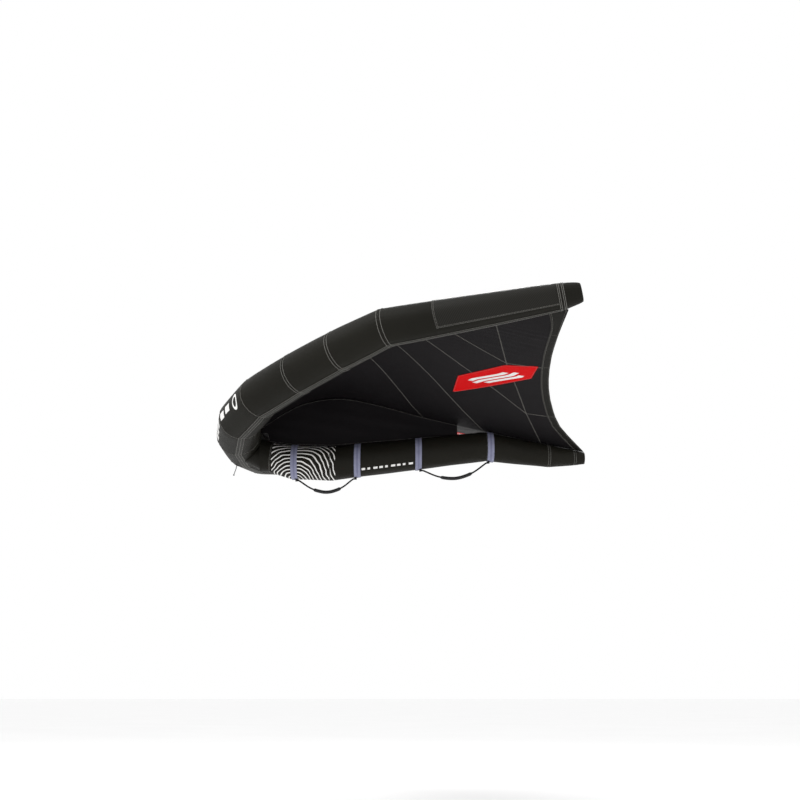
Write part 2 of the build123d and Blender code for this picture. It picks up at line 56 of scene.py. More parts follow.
SEAM_BAND = (-97, -77)  # angles of the doubler along the bottom of the tube
LAST_BAND = (-98, -52)  # the same band at the last ring, where it opens into the canopy's flange
TIP_PATCH = (75, 236)  # angles of the doubler on the last panel
TIP_PATCH_START = 0.3  # as a share of that panel's length
TE_BAND = 0.043  # width of the trailing edge's doubler
TE_BAND_TIP = 0.085
SEAM_TAPE = 0.0055
WELT = 0.0075  # distance of a seam tape from the ring that it lies beside
STRAP_THICKNESS = 0.0016
HANDLE_RADIUS = 0.0050
GRIP_RADIUS = 0.0105
PRINT_SPAN = (-0.340, 0.052)  # stretch of the strut that carries the contour print
PRINT_CENTRE = -0.19
PRINT_PITCH = 0.025
COLLAR_REAR = -0.338  # edges of the doubler between strut and tube
COLLAR_FRONT = -0.412
PIGTAIL_ROUTE = [
    (-0.588, 0.1435, 0.206),
    (-0.589, 0.1435, 0.189),
    (-0.593, 0.1435, 0.173),
    (-0.599, 0.1435, 0.157),
    (-0.603, 0.1435, 0.141),
]
PIGTAIL_RADIUS = 0.0025
HOSE_ROUTE = [
    (-0.4075, 0.198, 0.2647),
    (-0.3688, 0.1932, 0.244),
    (-0.328, 0.189, 0.224),
    (-0.288, 0.18, 0.208),
    (-0.259, 0.162, 0.1995),
    (-0.245, 0.1373, 0.197),
    (-0.245, 0.109, 0.197),
]
HOSE_RADIUS = 0.006
LENS = 42.4  # millimetres; the camera was fitted to the photograph
CAMERA_PLACE = (0.4475, -5.678, -1.2007)
CAMERA_TILT = 107.53
FLOOR_Z = -1.75

STITCH = (0.0055, 0.0016, 0.0008)  # length, width and height of one stitch
BOLD_STITCH = (0.0060, 0.0026, 0.0010)
FINE_STITCH = (0.0026, 0.0009, 0.0005)
SPINE_STITCH = (0.004, 0.001, 0.0005)
STRAP_WIDTH = 0.0396
LAP_INSET = 0.001  # the lap is this much narrower than the strap on each edge
LAP_SPAN = (284, 312)  # angles on the strut where the strap's end is sewn down
STRUT_MAP_RADIUS = 0.105  # radius that the strut's map is measured at
KEEPER_INNER = 0.0059  # radius inside the loop that holds a handle's end
KEEPER_WALL = 0.0013
KEEPER_HALF_WIDTH = 0.0070
FILM_INSET = 0.0075  # gap between the cloth and the bladder in it
FILM_RIPPLE = 0.0008

SIDES = {"right": 1, "left": -1}


# ------------------------------------------------------------------ small helpers
def unit(vectors):
    return vectors / np.maximum(np.linalg.norm(vectors, axis=-1, keepdims=True), 1e-12)


def run_along(line):
    """Distance of each point of a line from its start."""
    return np.r_[0, np.cumsum(np.linalg.norm(np.diff(line, axis=0), axis=1))]


def pick(line, places, at):
    """Points of a line at given places along it."""
    return np.stack([np.interp(at, places, line[:, k]) for k in range(3)], -1)


def pick_evenly(line, count):
    return pick(line, np.linspace(0, 1, len(line)), np.linspace(0, 1, count))


def circle(count):
    """Even steps round a circle, in degrees."""
    return np.linspace(0, 360, count + 1)[:-1]


def lattice(first, second):
    return np.meshgrid(first, second, indexing="ij")


def into_scene(name, data):
    piece = bpy.data.objects.new(name, data)
    bpy.context.scene.collection.objects.link(piece)
    return piece


# ------------------------------------------------------------------ reading the frame
def node_arrays(*nodes):
    """Vertices and triangles of one or more CAD nodes."""
    points, triangles, count = [], [], 0
    for node in nodes:
        mesh = frame["nodes"][node].data
        co = np.empty(len(mesh.vertices) * 3)
        mesh.vertices.foreach_get("co", co)
        mesh.calc_loop_triangles()
        tri = np.empty(len(mesh.loop_triangles) * 3, int)
        mesh.loop_triangles.foreach_get("vertices", tri)
        points.append(co.reshape(-1, 3))
        triangles.append(tri.reshape(-1, 3) + count)
        count += len(mesh.vertices)
    return np.vstack(points), np.vstack(triangles)


def section(arrays, axis, value):
    """Points where the surface crosses the plane at one value of an axis."""
    co, tri = arrays
    edges = np.vstack([tri[:, [0, 1]], tri[:, [1, 2]], tri[:, [2, 0]]])
    side = co[:, axis] - value
    a, b = edges.T
    crosses = side[a] * side[b] < 0
    a, b = a[crosses], b[crosses]
    share = (side[a] / (side[a] - side[b]))[:, None]
    return co[a] + share * (co[b] - co[a])


def fit_circle(points):
    """Centre, normal and outer radius of the ring that most of the points lie on."""
    for _ in range(3):
        middle = points.mean(0)
        normal = np.linalg.svd(points - middle)[2][2]
        off = np.abs((points - middle) @ normal)
        points = points[off <= max(0.0006, np.median(off) * 2)]
    middle = points.mean(0)
    a, b = np.linalg.svd(points - middle)[2][:2]
    flat = np.c_[(points - middle) @ a, (points - middle) @ b]
    radius = np.hypot(*flat.T)
    outer = flat[radius > np.median(radius) - 0.0008]
    fit = np.linalg.lstsq(np.c_[outer, np.ones(len(outer))], (outer**2).sum(1), rcond=None)[0]
    centre = middle + a * fit[0] / 2 + b * fit[1] / 2
    return centre, normal, np.linalg.norm(points - centre, axis=1).max()


def shared_ring(first, second):
    """The circle where two tube panels meet."""
    co = node_arrays(first)[0]
    other = node_arrays(second)[0]
    tree = KDTree(len(other))
    for i, p in enumerate(other):
        tree.insert(p, i)
    tree.balance()
    near = np.array([p for p in co if tree.find(p)[2] < 0.010])
    return fit_circle(near)


def end_ring(cap, ring_centre):
    """The circle at the far end of a cap that closes a tube."""
    co = node_arrays(cap)[0]
    axis = co.mean(0) - ring_centre
    for _ in range(4):
        axis /= np.linalg.norm(axis)
        reach = (co - ring_centre) @ axis
        far = co[reach > reach.max() - 0.0015]
        axis = (far.max(0) + far.min(0)) / 2 - ring_centre
    centre, normal, radius = fit_circle(far)
    return centre, normal, radius


# ------------------------------------------------------------------ meshes
def mesh_object(name, points, faces, uv=None, smooth=True):
    mesh = bpy.data.meshes.new(name)
    mesh.from_pydata([tuple(p) for p in points], [], [tuple(f) for f in faces])
    if uv is not None:
        layer = mesh.uv_layers.new(name="UVMap")
        layer.data.foreach_set("uv", np.asarray(uv, np.float32).ravel())
    mesh.polygons.foreach_set("use_smooth", [smooth] * len(mesh.polygons))
    mesh.update()
    return into_scene(name, mesh)


def grid_faces(rows, columns, wrap=False):
    i, j = lattice(np.arange(rows - 1), np.arange(columns if wrap else columns - 1))
    k = (j + 1) % columns
    corners = [i * columns + j, i * columns + k, (i + 1) * columns + k, (i + 1) * columns + j]
    return np.stack(corners, -1).reshape(-1, 4)


def grid_uv(rows, columns, uv, wrap=False):
    i, j = lattice(np.arange(rows - 1), np.arange(columns if wrap else columns - 1))
    corners = [uv[i, j], uv[i, j + 1], uv[i + 1, j + 1], uv[i + 1, j]]
    return np.stack(corners, 2).reshape(-1, 2)


def grid(name, points, uv=None, wrap=False):
    """Surface through a grid of points, with its map in metres."""
    rows, columns = points.shape[:2]
    if uv is None:
        uv = arc_uv(points, wrap)
    faces, mapped = grid_faces(rows, columns, wrap), grid_uv(rows, columns, uv, wrap)
    return mesh_object(name, points.reshape(-1, 3), faces, mapped)


def arc_uv(points, wrap=False):
    """A map in metres, from the lengths of the middle row and the middle column."""
    row, column = points[len(points) // 2], points[:, points.shape[1] // 2]
    if wrap:
        row = np.vstack([row, row[:1]])
    return np.stack(np.meshgrid(run_along(row), run_along(column)), -1)


def slab(name, points, normals, low, high, uv=None):
    """Closed strip of cloth: a grid of points thickened from one height to another along its normals."""
    rows, columns = points.shape[:2]
    count, last = rows * columns, (rows - 1) * columns
    upper = grid_faces(rows, columns)
    rim = np.r_[np.arange(rows) * columns, last + np.arange(1, columns),
                np.arange(rows - 2, -1, -1) * columns + columns - 1, np.arange(columns - 2, 0, -1)]
    turn = np.roll(rim, -1)
    sides = np.stack([rim, turn, turn + count, rim + count], -1)
    flat = grid_uv(rows, columns, arc_uv(points) if uv is None else uv)
    under_uv = flat.reshape(-1, 4, 2)[:, ::-1].reshape(-1, 2)
    mapped = np.vstack([flat, under_uv, np.zeros((len(sides) * 4, 2))])
    faces = np.vstack([upper, (upper + count)[:, ::-1], sides])
    corners = np.vstack([(points + normals * h).reshape(-1, 3) for h in (high, low)])
    return mesh_object(name, corners, faces, mapped)


def grid_normals(points):
    return unit(np.cross(np.gradient(points, axis=1), np.gradient(points, axis=0)))


def resample(line, step):
    """Points at even steps along a line, with the line's directions and their shares of its length."""
    length = run_along(line)
    count = max(2, int(length[-1] / step))
    at = (np.arange(count) + 0.5) * length[-1] / count
    way = pick(line, length, at + step * 0.3) - pick(line, length, at - step * 0.3)
    return pick(line, length, at), unit(way), at / length[-1]


def stitches(name, rows, step=0.0075, size=STITCH, material="thread", body="wing"):
    """Rows of raised thread stitches. Each row is a line of points and the cloth's normals there."""
    points, faces, count = [], [], 0
    long_half, wide_half, high = size[0] / 2, size[1] / 2, size[2]
    for line, normals in rows:
        at, way, share = resample(line, step)
        place = share * (len(normals) - 1)
        low = np.minimum(place.astype(int), len(normals) - 2)
        part = (place - low)[:, None]
        up = unit(normals[low] * (1 - part) + normals[low + 1] * part)
        side = np.cross(way, up)
        for lengthwise, fat in ((-1, 0), (-0.55, 1), (0.55, 1), (1, 0)):
            for across, height in ((-1, 0.1), (0, 1), (1, 0.1)):
                points.append(at + way * lengthwise * long_half + side * across * wide_half * fat
                              + up * (height * high * fat - 0.0001))
        index = count + np.arange(len(at))
        for corner in (0, 1, 3, 4, 6, 7):
            faces.append(np.stack([index + (corner + k) * len(at) for k in (0, 1, 4, 3)], -1))
        count += 12 * len(at)
    return dress(mesh_object(name, np.vstack(points), np.vstack(faces)), material, body=body)


def dress(piece, material, replaced=(), body="wing"):
    """Gives a piece its material and the body it rides on, and hides the CAD nodes it stands for."""
    material = M[material]
    piece.data.materials.clear()
    piece.data.materials.append(material)
    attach(piece, body)
    if replaced:
        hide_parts(*replaced)
    return piece


def dress_pair(pieces, material, node):
    """The pieces of the two halves, where one CAD node stands for both."""
    dress(pieces[0], material, [node])
    dress(pieces[1], material)


def swept(name, line, radius, sides=16, shape=None):
    """Closed tube along a line of points; shape gives the radius factor from place and angle."""
    line = np.asarray(line, float)
    runs, radii = run_along(line), np.broadcast_to(radius, len(line))
    way = unit(np.gradient(line, axis=0))
    side = np.cross(way[0], (0.0, 1.0, 0.0))
    if np.linalg.norm(side) < 0.1:
        side = np.cross(way[0], (0.0, 0.0, 1.0))
    rows = []
    angle = np.linspace(0, 2 * math.pi, sides, endpoint=False)
    for p, t, run, r in zip(line, way, runs, radii):
        side = unit(side - t * (side @ t))
        factor = np.ones(sides) if shape is None else shape(run, angle)
        out = np.cos(angle)[:, None] * side + np.sin(angle)[:, None] * np.cross(t, side)
        rows.append(p + r * factor[:, None] * out)
    last = len(line) * sides
    around = [(j, (j + 1) % sides) for j in range(sides)]
    caps = [(last, b, a) for a, b in around]
    caps += [(last + 1, last - sides + a, last - sides + b) for a, b in around]
    u = np.linspace(0, 2 * math.pi * np.mean(radius), sides + 1)
    flat = grid_uv(len(line), sides, np.stack(np.meshgrid(u, runs), -1), wrap=True)
    uv = np.vstack([flat, np.zeros((len(caps) * 3, 2))])
    faces = [*map(tuple, grid_faces(len(line), sides, wrap=True)), *caps]
    return mesh_object(name, np.vstack([*rows, line[:1], line[-1:]]), faces, uv)


def gathered_end(name, edge, middle, outward, pleats, depth, steps):
    """Pleated cloth drawn in from a closed edge; each step is a share of the edge and a height."""
    angle = np.radians(circle(len(edge)))[:, None]
    rows = [middle + (edge - middle) * inset * (1 + depth * np.sin(angle * pleats) * (1 - inset))
            + outward * along for inset, along in steps]
    return grid(name, np.array(rows), wrap=True)


# ------------------------------------------------------------------ materials
class Nodes:
    """Short calls for building a material's nodes."""

    def __init__(self, name, slot):
        self.material = bpy.data.materials.new(name)
        self.material.use_nodes = True
        self.material["slot"] = slot
        self.tree = self.material.node_tree
        self.shader = self.tree.nodes["Principled BSDF"]
        self.uv = self.add("ShaderNodeTexCoord").outputs["UV"]
        self.place = self.add("ShaderNodeTexCoord").outputs["Object"]

    def add(self, kind, **settings):
        node = self.tree.nodes.new(kind)
        for key, value in settings.items():
            setattr(node, key, value)
        return node

    def link(self, output, socket):
        self.tree.links.new(output, socket)

    def feed(self, socket, value):
        """Links a socket, or sets it to a number or a colour."""
        if isinstance(value, (int, float)):
            socket.default_value = value
        elif isinstance(value, tuple):
            socket.default_value = (*value, 1)
        else:
            self.link(value, socket)

    def math(self, operation, *values):
        node = self.add("ShaderNodeMath", operation=operation)
        for socket, value in zip(node.inputs, values):
            self.feed(socket, value)
        return node.outputs[0]

    def noise(self, scale, detail=2.0, vector=None, roughness=0.5):
        node = self.add("ShaderNodeTexNoise")
        node.inputs["Scale"].default_value = scale
        node.inputs["Detail"].default_value = detail
        node.inputs["Roughness"].default_value = roughness
        self.link(self.place if vector is None else vector, node.inputs["Vector"])
        return node.outputs["Fac"]

    def split(self, vector):
        node = self.add("ShaderNodeSeparateXYZ")
        self.link(vector, node.inputs[0])
        return node.outputs

    def ramp(self, value, stops):
        node = self.add("ShaderNodeValToRGB")
        self.link(value, node.inputs[0])
        elements = node.color_ramp.elements
        while len(elements) < len(stops):
            elements.new(0.5)
        for element, (at, colour) in zip(elements, stops):
            element.position = at
            element.color = (*colour, 1)
        return node.outputs["Color"]

    def mix(self, factor, a, b):
        node = self.add("ShaderNodeMix", data_type="RGBA")
        for place, value in ((0, factor), (6, a), (7, b)):
            self.feed(node.inputs[place], value)
        return node.outputs[2]

    def layer(self, tone, mask, share, colour):
        """A colour laid over a tone where a mask says, at part of its strength."""
        return self.mix(self.math("MULTIPLY", mask, share), tone, colour)

    def lines(self, value, pitch, width):
        """1 on thin lines at even pitch, 0 between, with soft edges."""
        away = self.math("DIVIDE", self.math("PINGPONG", value, pitch / 2), width)
        line = self.math("MAXIMUM", self.math("SUBTRACT", 1.0, away), 0.0)
        return self.math("SMOOTH_MIN", line, 1.0, 0.05)

    def finish(self, tone, rough, height, distance, strength=1.0, gloss=0.5):
        """Colour, roughness, gloss and bumps of the finished material."""
        self.link(tone, self.shader.inputs["Base Color"])
        self.feed(self.shader.inputs["Roughness"], rough)
        self.shader.inputs["Specular IOR Level"].default_value = gloss
        node = self.add("ShaderNodeBump")
        node.inputs["Distance"].default_value = distance
        node.inputs["Strength"].default_value = strength
        self.link(height, node.inputs["Height"])
        self.link(node.outputs["Normal"], self.shader.inputs["Normal"])
        return self.material


def shade(colour, factor):
    return tuple(min(1.0, c * factor) for c in colour)


def cloth_material(name, slot, colour, rough, ripstop, gloss, twill, paint):
    """Coated ripstop or twill: weave, a reinforcing grid, faint creases, dust and rubbed patches."""
    n = Nodes(name, slot)
    u, v, _ = n.split(n.uv)
    if twill:
        thread = n.lines(n.math("ADD", u, v), 0.0125, 0.0048)
    else:
        thread = n.math("MAXIMUM", n.lines(u, ripstop, 0.0009), n.lines(v, ripstop, 0.0009))
    weave = n.math("MAXIMUM", n.lines(u, 0.0016, 0.0006), n.lines(v, 0.0016, 0.0006))
    creases = n.noise(9.0, 5.0, roughness=0.62)
    dust = n.noise(2.2, 4.0)
    fine = n.noise(420.0, 1.0)
    tone = n.ramp(dust, [(0.34, shade(colour, 0.86)), (0.7, shade(colour, 1.16))])
    tone = n.layer(tone, thread, 0.75 if twill else 0.30, shade(colour, 2.6 if twill else 1.75))
    tone = n.layer(tone, fine, 0.16, shade(colour, 1.4))
    if paint:
        tone = paint(n, tone)
    uneven = n.math("ADD", n.math("MULTIPLY", creases, 0.16), rough - 0.08)
    height = n.math("ADD", n.math("MULTIPLY", thread, 0.25), n.math("MULTIPLY", weave, 0.12))
    height = n.math("ADD", height, n.math("MULTIPLY", creases, 1.6))
    return n.finish(tone, uneven, height, 0.0011, gloss=gloss)


def contour_print(n, tone):
    """White contour lines round one spot of the strut, faded out by a distorted field."""
    u, v, _ = n.split(n.uv)
    along = n.math("SUBTRACT", u, PRINT_CENTRE)
    slow = n.math("MULTIPLY", n.math("SUBTRACT", n.noise(4.5, 0.0), 0.5), 0.09)
    warp = n.math("ADD", slow, n.math("MULTIPLY", n.math("SUBTRACT", n.noise(22.0, 0.0), 0.5), 0.014))
    across = n.math("MULTIPLY", n.math("POWER", v, 2.0), 0.8)
    reach = n.math("SQRT", n.math("ADD", n.math("POWER", along, 2.0), across))
    field = n.math("ADD", reach, warp)
    line = n.math("LESS_THAN", n.math("PINGPONG", field, PRINT_PITCH / 2), PRINT_PITCH * 0.14)
    start, end = n.math("GREATER_THAN", u, PRINT_SPAN[0]), n.math("LESS_THAN", u, PRINT_SPAN[1])
    return n.layer(tone, line, n.math("MULTIPLY", start, end), (0.80, 0.79, 0.77))


def webbing_material(name, slot, colour, stripe, rough=0.55):
    """Woven webbing: chevron ribs along its length, and a darker stripe down its middle."""
    n = Nodes(name, slot)
    u, v, _ = n.split(n.uv)
    rib = n.lines(n.math("ADD", n.math("PINGPONG", u, 0.0035), v), 0.0028, 0.0011)
    middle = n.math("LESS_THAN", n.math("ABSOLUTE", n.math("SUBTRACT", u, 0.020)), 0.0055)
    tone = n.mix(middle, colour, stripe)
    tone = n.layer(tone, rib, 0.45, shade(colour, 0.62))
    tone = n.layer(tone, n.noise(24.0, 4.0), 0.35, shade(colour, 1.25))
    return n.finish(tone, rough, rib, 0.0006, 0.8, gloss=0.25)


def moulded_material(name, slot, colour, rough, wear, coat):
    """Moulded plastic or rubber: fine grain, faint flow marks and edges rubbed lighter."""
    n = Nodes(name, slot)
    grain = n.noise(900.0, 2.0)
    marks = n.noise(40.0, 3.0)
    tone = n.ramp(marks, [(0.35, shade(colour, 0.85)), (0.7, shade(colour, wear))])
    edge = n.add("ShaderNodeNewGeometry").outputs["Pointiness"]
    rubbed = n.ramp(edge, [(0.5, (0, 0, 0)), (0.58, (0.6, 0.6, 0.6))])
    tone = n.mix(rubbed, tone, shade(colour, wear + 0.5))
    n.shader.inputs["Coat Weight"].default_value = coat
    uneven = n.math("ADD", n.math("MULTIPLY", marks, 0.2), rough - 0.1)
    return n.finish(tone, uneven, n.math("ADD", grain, n.math("MULTIPLY", marks, 2.0)), 0.00025)


def cord_material(name, slot, colour, pitch, rough=0.7):
    """Braided cover: two sets of slanting strands that cross."""
    n = Nodes(name, slot)
    u, v, _ = n.split(n.uv)
    one = n.lines(n.math("ADD", u, v), pitch, pitch * 0.35)
    two = n.lines(n.math("SUBTRACT", v, u), pitch, pitch * 0.35)
    strand = n.math("MAXIMUM", one, two)
    tone = n.layer(colour, strand, 0.6, shade(colour, 0.45))
    tone = n.layer(tone, n.noise(60.0, 3.0), 0.4, shade(colour, 1.3))
    return n.finish(tone, rough, n.math("SUBTRACT", 1.0, strand), 0.0006, 0.8, gloss=0.25)


def build_materials():
    """Every material by its short name; each carries the slot that it stands for."""
    dark, black = (0.0105, 0.0098, 0.0074), (0.010, 0.010, 0.011)
    cloths = {  # looks: name, slot, colour, roughness, pitch of the ripstop grid, gloss
        "tube": ("tube_cloth", "tube_fabric", (0.0105, 0.0099, 0.0076), 0.50, 0.0075, 0.07),
        "strut": ("strut_cloth", "strut_fabric", dark, 0.50, 0.0075, 0.07),
        "strut_plain": ("strut_plain_cloth", "strut_fabric", dark, 0.50, 0.0075, 0.07),
        "canopy": ("canopy_cloth", "canopy_fabric", (0.0082, 0.0072, 0.0080), 0.55, 0.009, 0.07),
        "trim": ("trim_cloth", "trim_fabric", (0.0112, 0.0106, 0.0089), 0.5, 0.005, 0.08),
        "flange": ("flange_cloth", "trim_fabric", (0.0152, 0.0145, 0.0120), 0.5, 0.005, 0.11),
        "twill": ("twill_cloth", "trim_fabric", (0.0105, 0.0100, 0.0084), 0.45, 0.0075, 0.10),
        "tape": ("seam_tape", "trim_fabric", (0.038, 0.0365, 0.033), 0.6, 0.003, 0.10),
        "accent": ("accent_cloth", "accent_fabric", (0.54, 0.0012, 0.0026), 0.5, 0.0075, 0.07),
        "mark": ("mark_print", "accent_fabric", (0.74, 0.73, 0.71), 0.5, 0.0075, 0.22),
    }
    made = {key: cloth_material(*values, twill=key == "twill", paint=contour_print if key == "strut" else None)
            for key, values in cloths.items()}
    cords = {  # looks: name, slot, colour, pitch of the strands
        "thread": ("thread", "trim_fabric", (0.24, 0.235, 0.215), 0.0015),
        "dark_thread": ("dark_thread", "handle_webbing", (0.05, 0.05, 0.055), 0.0015),
        "rope": ("handle_cover", "handle_webbing", black, 0.005),
        "cord": ("pigtail_cover", "cord", (0.12, 0.12, 0.12), 0.0022),
    }
    made |= {key: cord_material(*values) for key, values in cords.items()}
    mouldings = {  # looks: name, slot, colour, roughness, wear, coat
        "grip": ("grip_foam", "grip_rubber", (0.008, 0.008, 0.009), 0.75, 1.6, 0.0),
        "valve": ("valve_moulding", "valve_plastic", (0.012, 0.012, 0.014), 0.42, 1.3, 0.0),
        "flap": ("valve_flap_rubber", "valve_rubber", (0.02, 0.02, 0.02), 0.6, 1.3, 0.0),
        "fitting": ("fitting_moulding", "fitting_plastic", (0.45, 0.45, 0.43), 0.35, 1.05, 0.2),
        "hose": ("hose_rubber", "hose_rubber", (0.20, 0.21, 0.21), 0.35, 1.1, 0.3),
        "film": ("bladder_film", "bladder_film", (0.6, 0.62, 0.62), 0.25, 1.05, 0.0),
    }
    made |= {key: moulded_material(*values) for key, values in mouldings.items()}
    webbings = {  # looks: name, slot, colour, colour of the stripe
        "strap": ("strap_webbing", "strap_webbing", (0.235, 0.243, 0.350), (0.150, 0.155, 0.250)),
        "black_webbing": ("black_webbing", "handle_webbing", black, (0.012, 0.012, 0.013)),
    }
    return made | {key: webbing_material(*values) for key, values in webbings.items()}


M = build_materials()


# ------------------------------------------------------------------ the leading edge tube
class Ring:
    """A seam ring of the right half: the same angles as the CAD's, 0 aft or inboard and 90 up."""

    def __init__(self, centre, radius, along):
        self.centre, self.radius = np.asarray(centre, float), float(radius)
        self.along = unit(along)
        self.aft = unit(np.cross(self.along, (0.0, 0.0, 1.0)))
        self.up = np.cross(self.aft, self.along)


def read_rings():
    """Seam rings of the right half, from the middle panel's end to the sewn tip."""
    chain = ["le_panel_center"] + [f"le_panel_{i}_right" for i in range(1, 7)] + ["le_tip_cap_right"]
    found = [shared_ring(a, b) for a, b in zip(chain, chain[1:])]
    found.append(end_ring(chain[-1], found[-1][0]))
    centres = [c for c, _, _ in found]
    centres = [centres[0] * (1, -1, 1)] + centres
    rings = []
    for i, (centre, normal, radius) in enumerate(found):
        ahead = centres[min(i + 2, len(centres) - 1)] - centres[i]
        rings.append(Ring(centre, radius, normal * np.sign(normal @ ahead)))
    return rings


RINGS = read_rings()


class Cloth:
    """A surface round an axis; its point method gives places on it."""

    def out(self, along, angle):
        """Outward normals."""
        return (self.point(along, angle, 0.01) - self.point(along, angle)) / 0.01

    def seam(self, along, angle, lift=0.0):
        """A line for stitches or tape: its points and the cloth's normals there."""
        return self.point(along, angle, lift), self.out(along, angle)


class TubePanel(Cloth):
    """Cloth of the tube between two rings, rounded out by air and puckered at its seams."""

    def __init__(self, start, end, side=1, seed=0, bend=(1.0, 1.0)):
        self.start, self.end, self.side, self.bend = start, end, side, bend
        self.length = np.linalg.norm(end.centre - start.centre)
        self.phase = np.random.default_rng(seed).uniform(0, 2 * math.pi, 12)

    def swell(self, share, angle):
        """How far the cloth stands from the plain cone."""
        a, p = np.radians(angle), self.phase
        near, far = share * self.length, (1 - share) * self.length
        low = PANEL_BULGE * (1 - np.abs(2 * share - 1) ** 5)
        ripple = (np.sin(31 * a + p[0]) * 0.5 + np.sin(53 * a + p[1]) * 0.3 + np.sin(17 * a + p[2]) * 0.5)
        low = low + PUCKER * ripple * (np.exp(-near / 0.022) + np.exp(-far / 0.022))
        inside = np.clip(np.cos(a + 0.25), 0, 1) ** 1.5
        fold = np.sin(19 * a + p[3] + 2.5 * np.sin(3 * a + p[4]))
        bent = self.bend[0] * np.exp(-near / 0.05) + self.bend[1] * np.exp(-far / 0.05)
        low = low + BEND_FOLD * inside * fold * bent * 0.6
        slow = np.sin(2 * a + p[5] + 5 * share) + np.sin(5 * a + p[6] - 4 * share)
        return low + 0.0004 * slow

    def point(self, share, angle, lift=0.0):
        """Places on the cloth, lifted from it; share runs 0 to 1 from ring to ring."""
        share, angle = np.broadcast_arrays(np.asarray(share, float), np.asarray(angle, float))
        s, a = share[..., None], np.radians(angle)[..., None]

        def between(key):
            return getattr(self.start, key) * (1 - s) + getattr(self.end, key) * s

        out = unit(np.cos(a) * between("aft") + np.sin(a) * between("up"))
        height = self.swell(share, angle) + lift
        return (between("centre") + out * (between("radius") + height[..., None])) * (1, self.side, 1)


def mirror_ring(ring):
    return Ring(ring.centre * (1, -1, 1), ring.radius, ring.along * (-1, 1, -1))


def tube_panels():
    """Panels by name: the middle one, and six and a cap on each side."""
    panels = {"center": TubePanel(mirror_ring(RINGS[0]), RINGS[0], 1, 3)}
    bends = [1, 1, 1, 1, 1, 1.4, 0.2]
    for side, sign in SIDES.items():
        for i in range(6):
            panels[f"{i + 1}_{side}"] = TubePanel(RINGS[i], RINGS[i + 1], sign, 10 + i, bends[i:i + 2])
        panels[f"cap_{side}"] = TubePanel(RINGS[6], RINGS[7], sign, 20, (0.2, 0))
    return panels


TUBE = tube_panels()


def strip(name, cloth, along, angles, low, high):
    """Closed strip on a tube panel or on the strut."""
    points, normals = cloth.seam(*lattice(along, angles))
    return slab(name, points, normals, low, high)


def tube_skin(name, panel, node):
    """A tube panel's cloth, with its map wrapped round it in metres."""
    count = max(18, int(panel.length / 0.011))
    shares, angles = np.linspace(0, 1, count), circle(180)
    radius = (panel.start.radius + panel.end.radius) / 2
    u = np.linspace(0, 2 * math.pi * radius, len(angles) + 1)
    uv = np.stack(np.meshgrid(u, shares * panel.length), -1)
    piece = grid(name, panel.point(*lattice(shares, angles)), uv, wrap=True)
    if panel.side < 0:
        piece.data.flip_normals()
    dress(piece, "tube", [node])


def tip_end(side):
    """The sewn end of a tip: a flat seam across the tube's mouth with gathered cloth round it."""
    panel = TUBE[f"cap_{side}"]
    mirror = (1, panel.side, 1)
    steps = ((1.0, 0.0), (0.96, 0.0035), (0.8, 0.006), (0.55, 0.0065), (0.3, 0.0045), (0.08, 0.003))
    piece = gathered_end(f"tip_end_{side}", panel.point(1, circle(90)), panel.end.centre * mirror,
                         panel.end.along * mirror * 0.7, 14, 0.05, steps)
    dress(piece, "tube")


def tape_from(name, line, normals, width, low, high, material="tape"):
    """Closed narrow tape along a line that lies on a cloth."""
    side = np.cross(unit(np.gradient(line, axis=0)), normals)
    crown = [(-1, 0.0), (-0.8, 0.8), (0, 1.0), (0.8, 0.8), (1, 0.0)]
    points = np.stack([line + side * (w * width / 2) + normals * (h * (high - low)) for w, h in crown], 1)
    dress(slab(name, points, np.repeat(normals[:, None], len(crown), 1), low - 0.0004, low), material)


# seams round the tube: the panel, and how far from its start, or from its end where it is below zero;
# on the caps it is a share of the length
RING_SEAMS = [("1", 0.0), ("2", 0.0), ("3", 0.0), ("3", -WELT), ("4", WELT), ("4", -WELT), ("5", WELT),
              ("5", -0.010), ("6", 0.010), ("6", -0.011), ("6", -0.003), ("cap", 0.10), ("cap", 0.18)]


def leading_edge():
    """Panels of the tube, its sewn tips, and tape and stitches on each ring seam."""
    tube_skin("tube_middle", TUBE["center"], "le_panel_center")
    for side in SIDES:
        for i in range(1, 7):
            tube_skin(f"tube_{i}_{side}", TUBE[f"{i}_{side}"], f"le_panel_{i}_{side}")
        tube_skin(f"tube_cap_{side}", TUBE[f"cap_{side}"], f"le_tip_cap_{side}")
        tip_end(side)
        rows = []
        for k, (key, off) in enumerate(RING_SEAMS):
            panel = TUBE[f"{key}_{side}"]
            share = off if key == "cap" else off / panel.length + (off < 0)
            line, normals = panel.seam(share, np.linspace(0, 360, 145))
            tape_from(f"ring_tape_{k}_{side}", line, normals, SEAM_TAPE, 0.0003, 0.0015)
            rows.append((line + normals * 0.0016, normals))
        stitches(f"ring_stitches_{side}", rows, size=BOLD_STITCH)


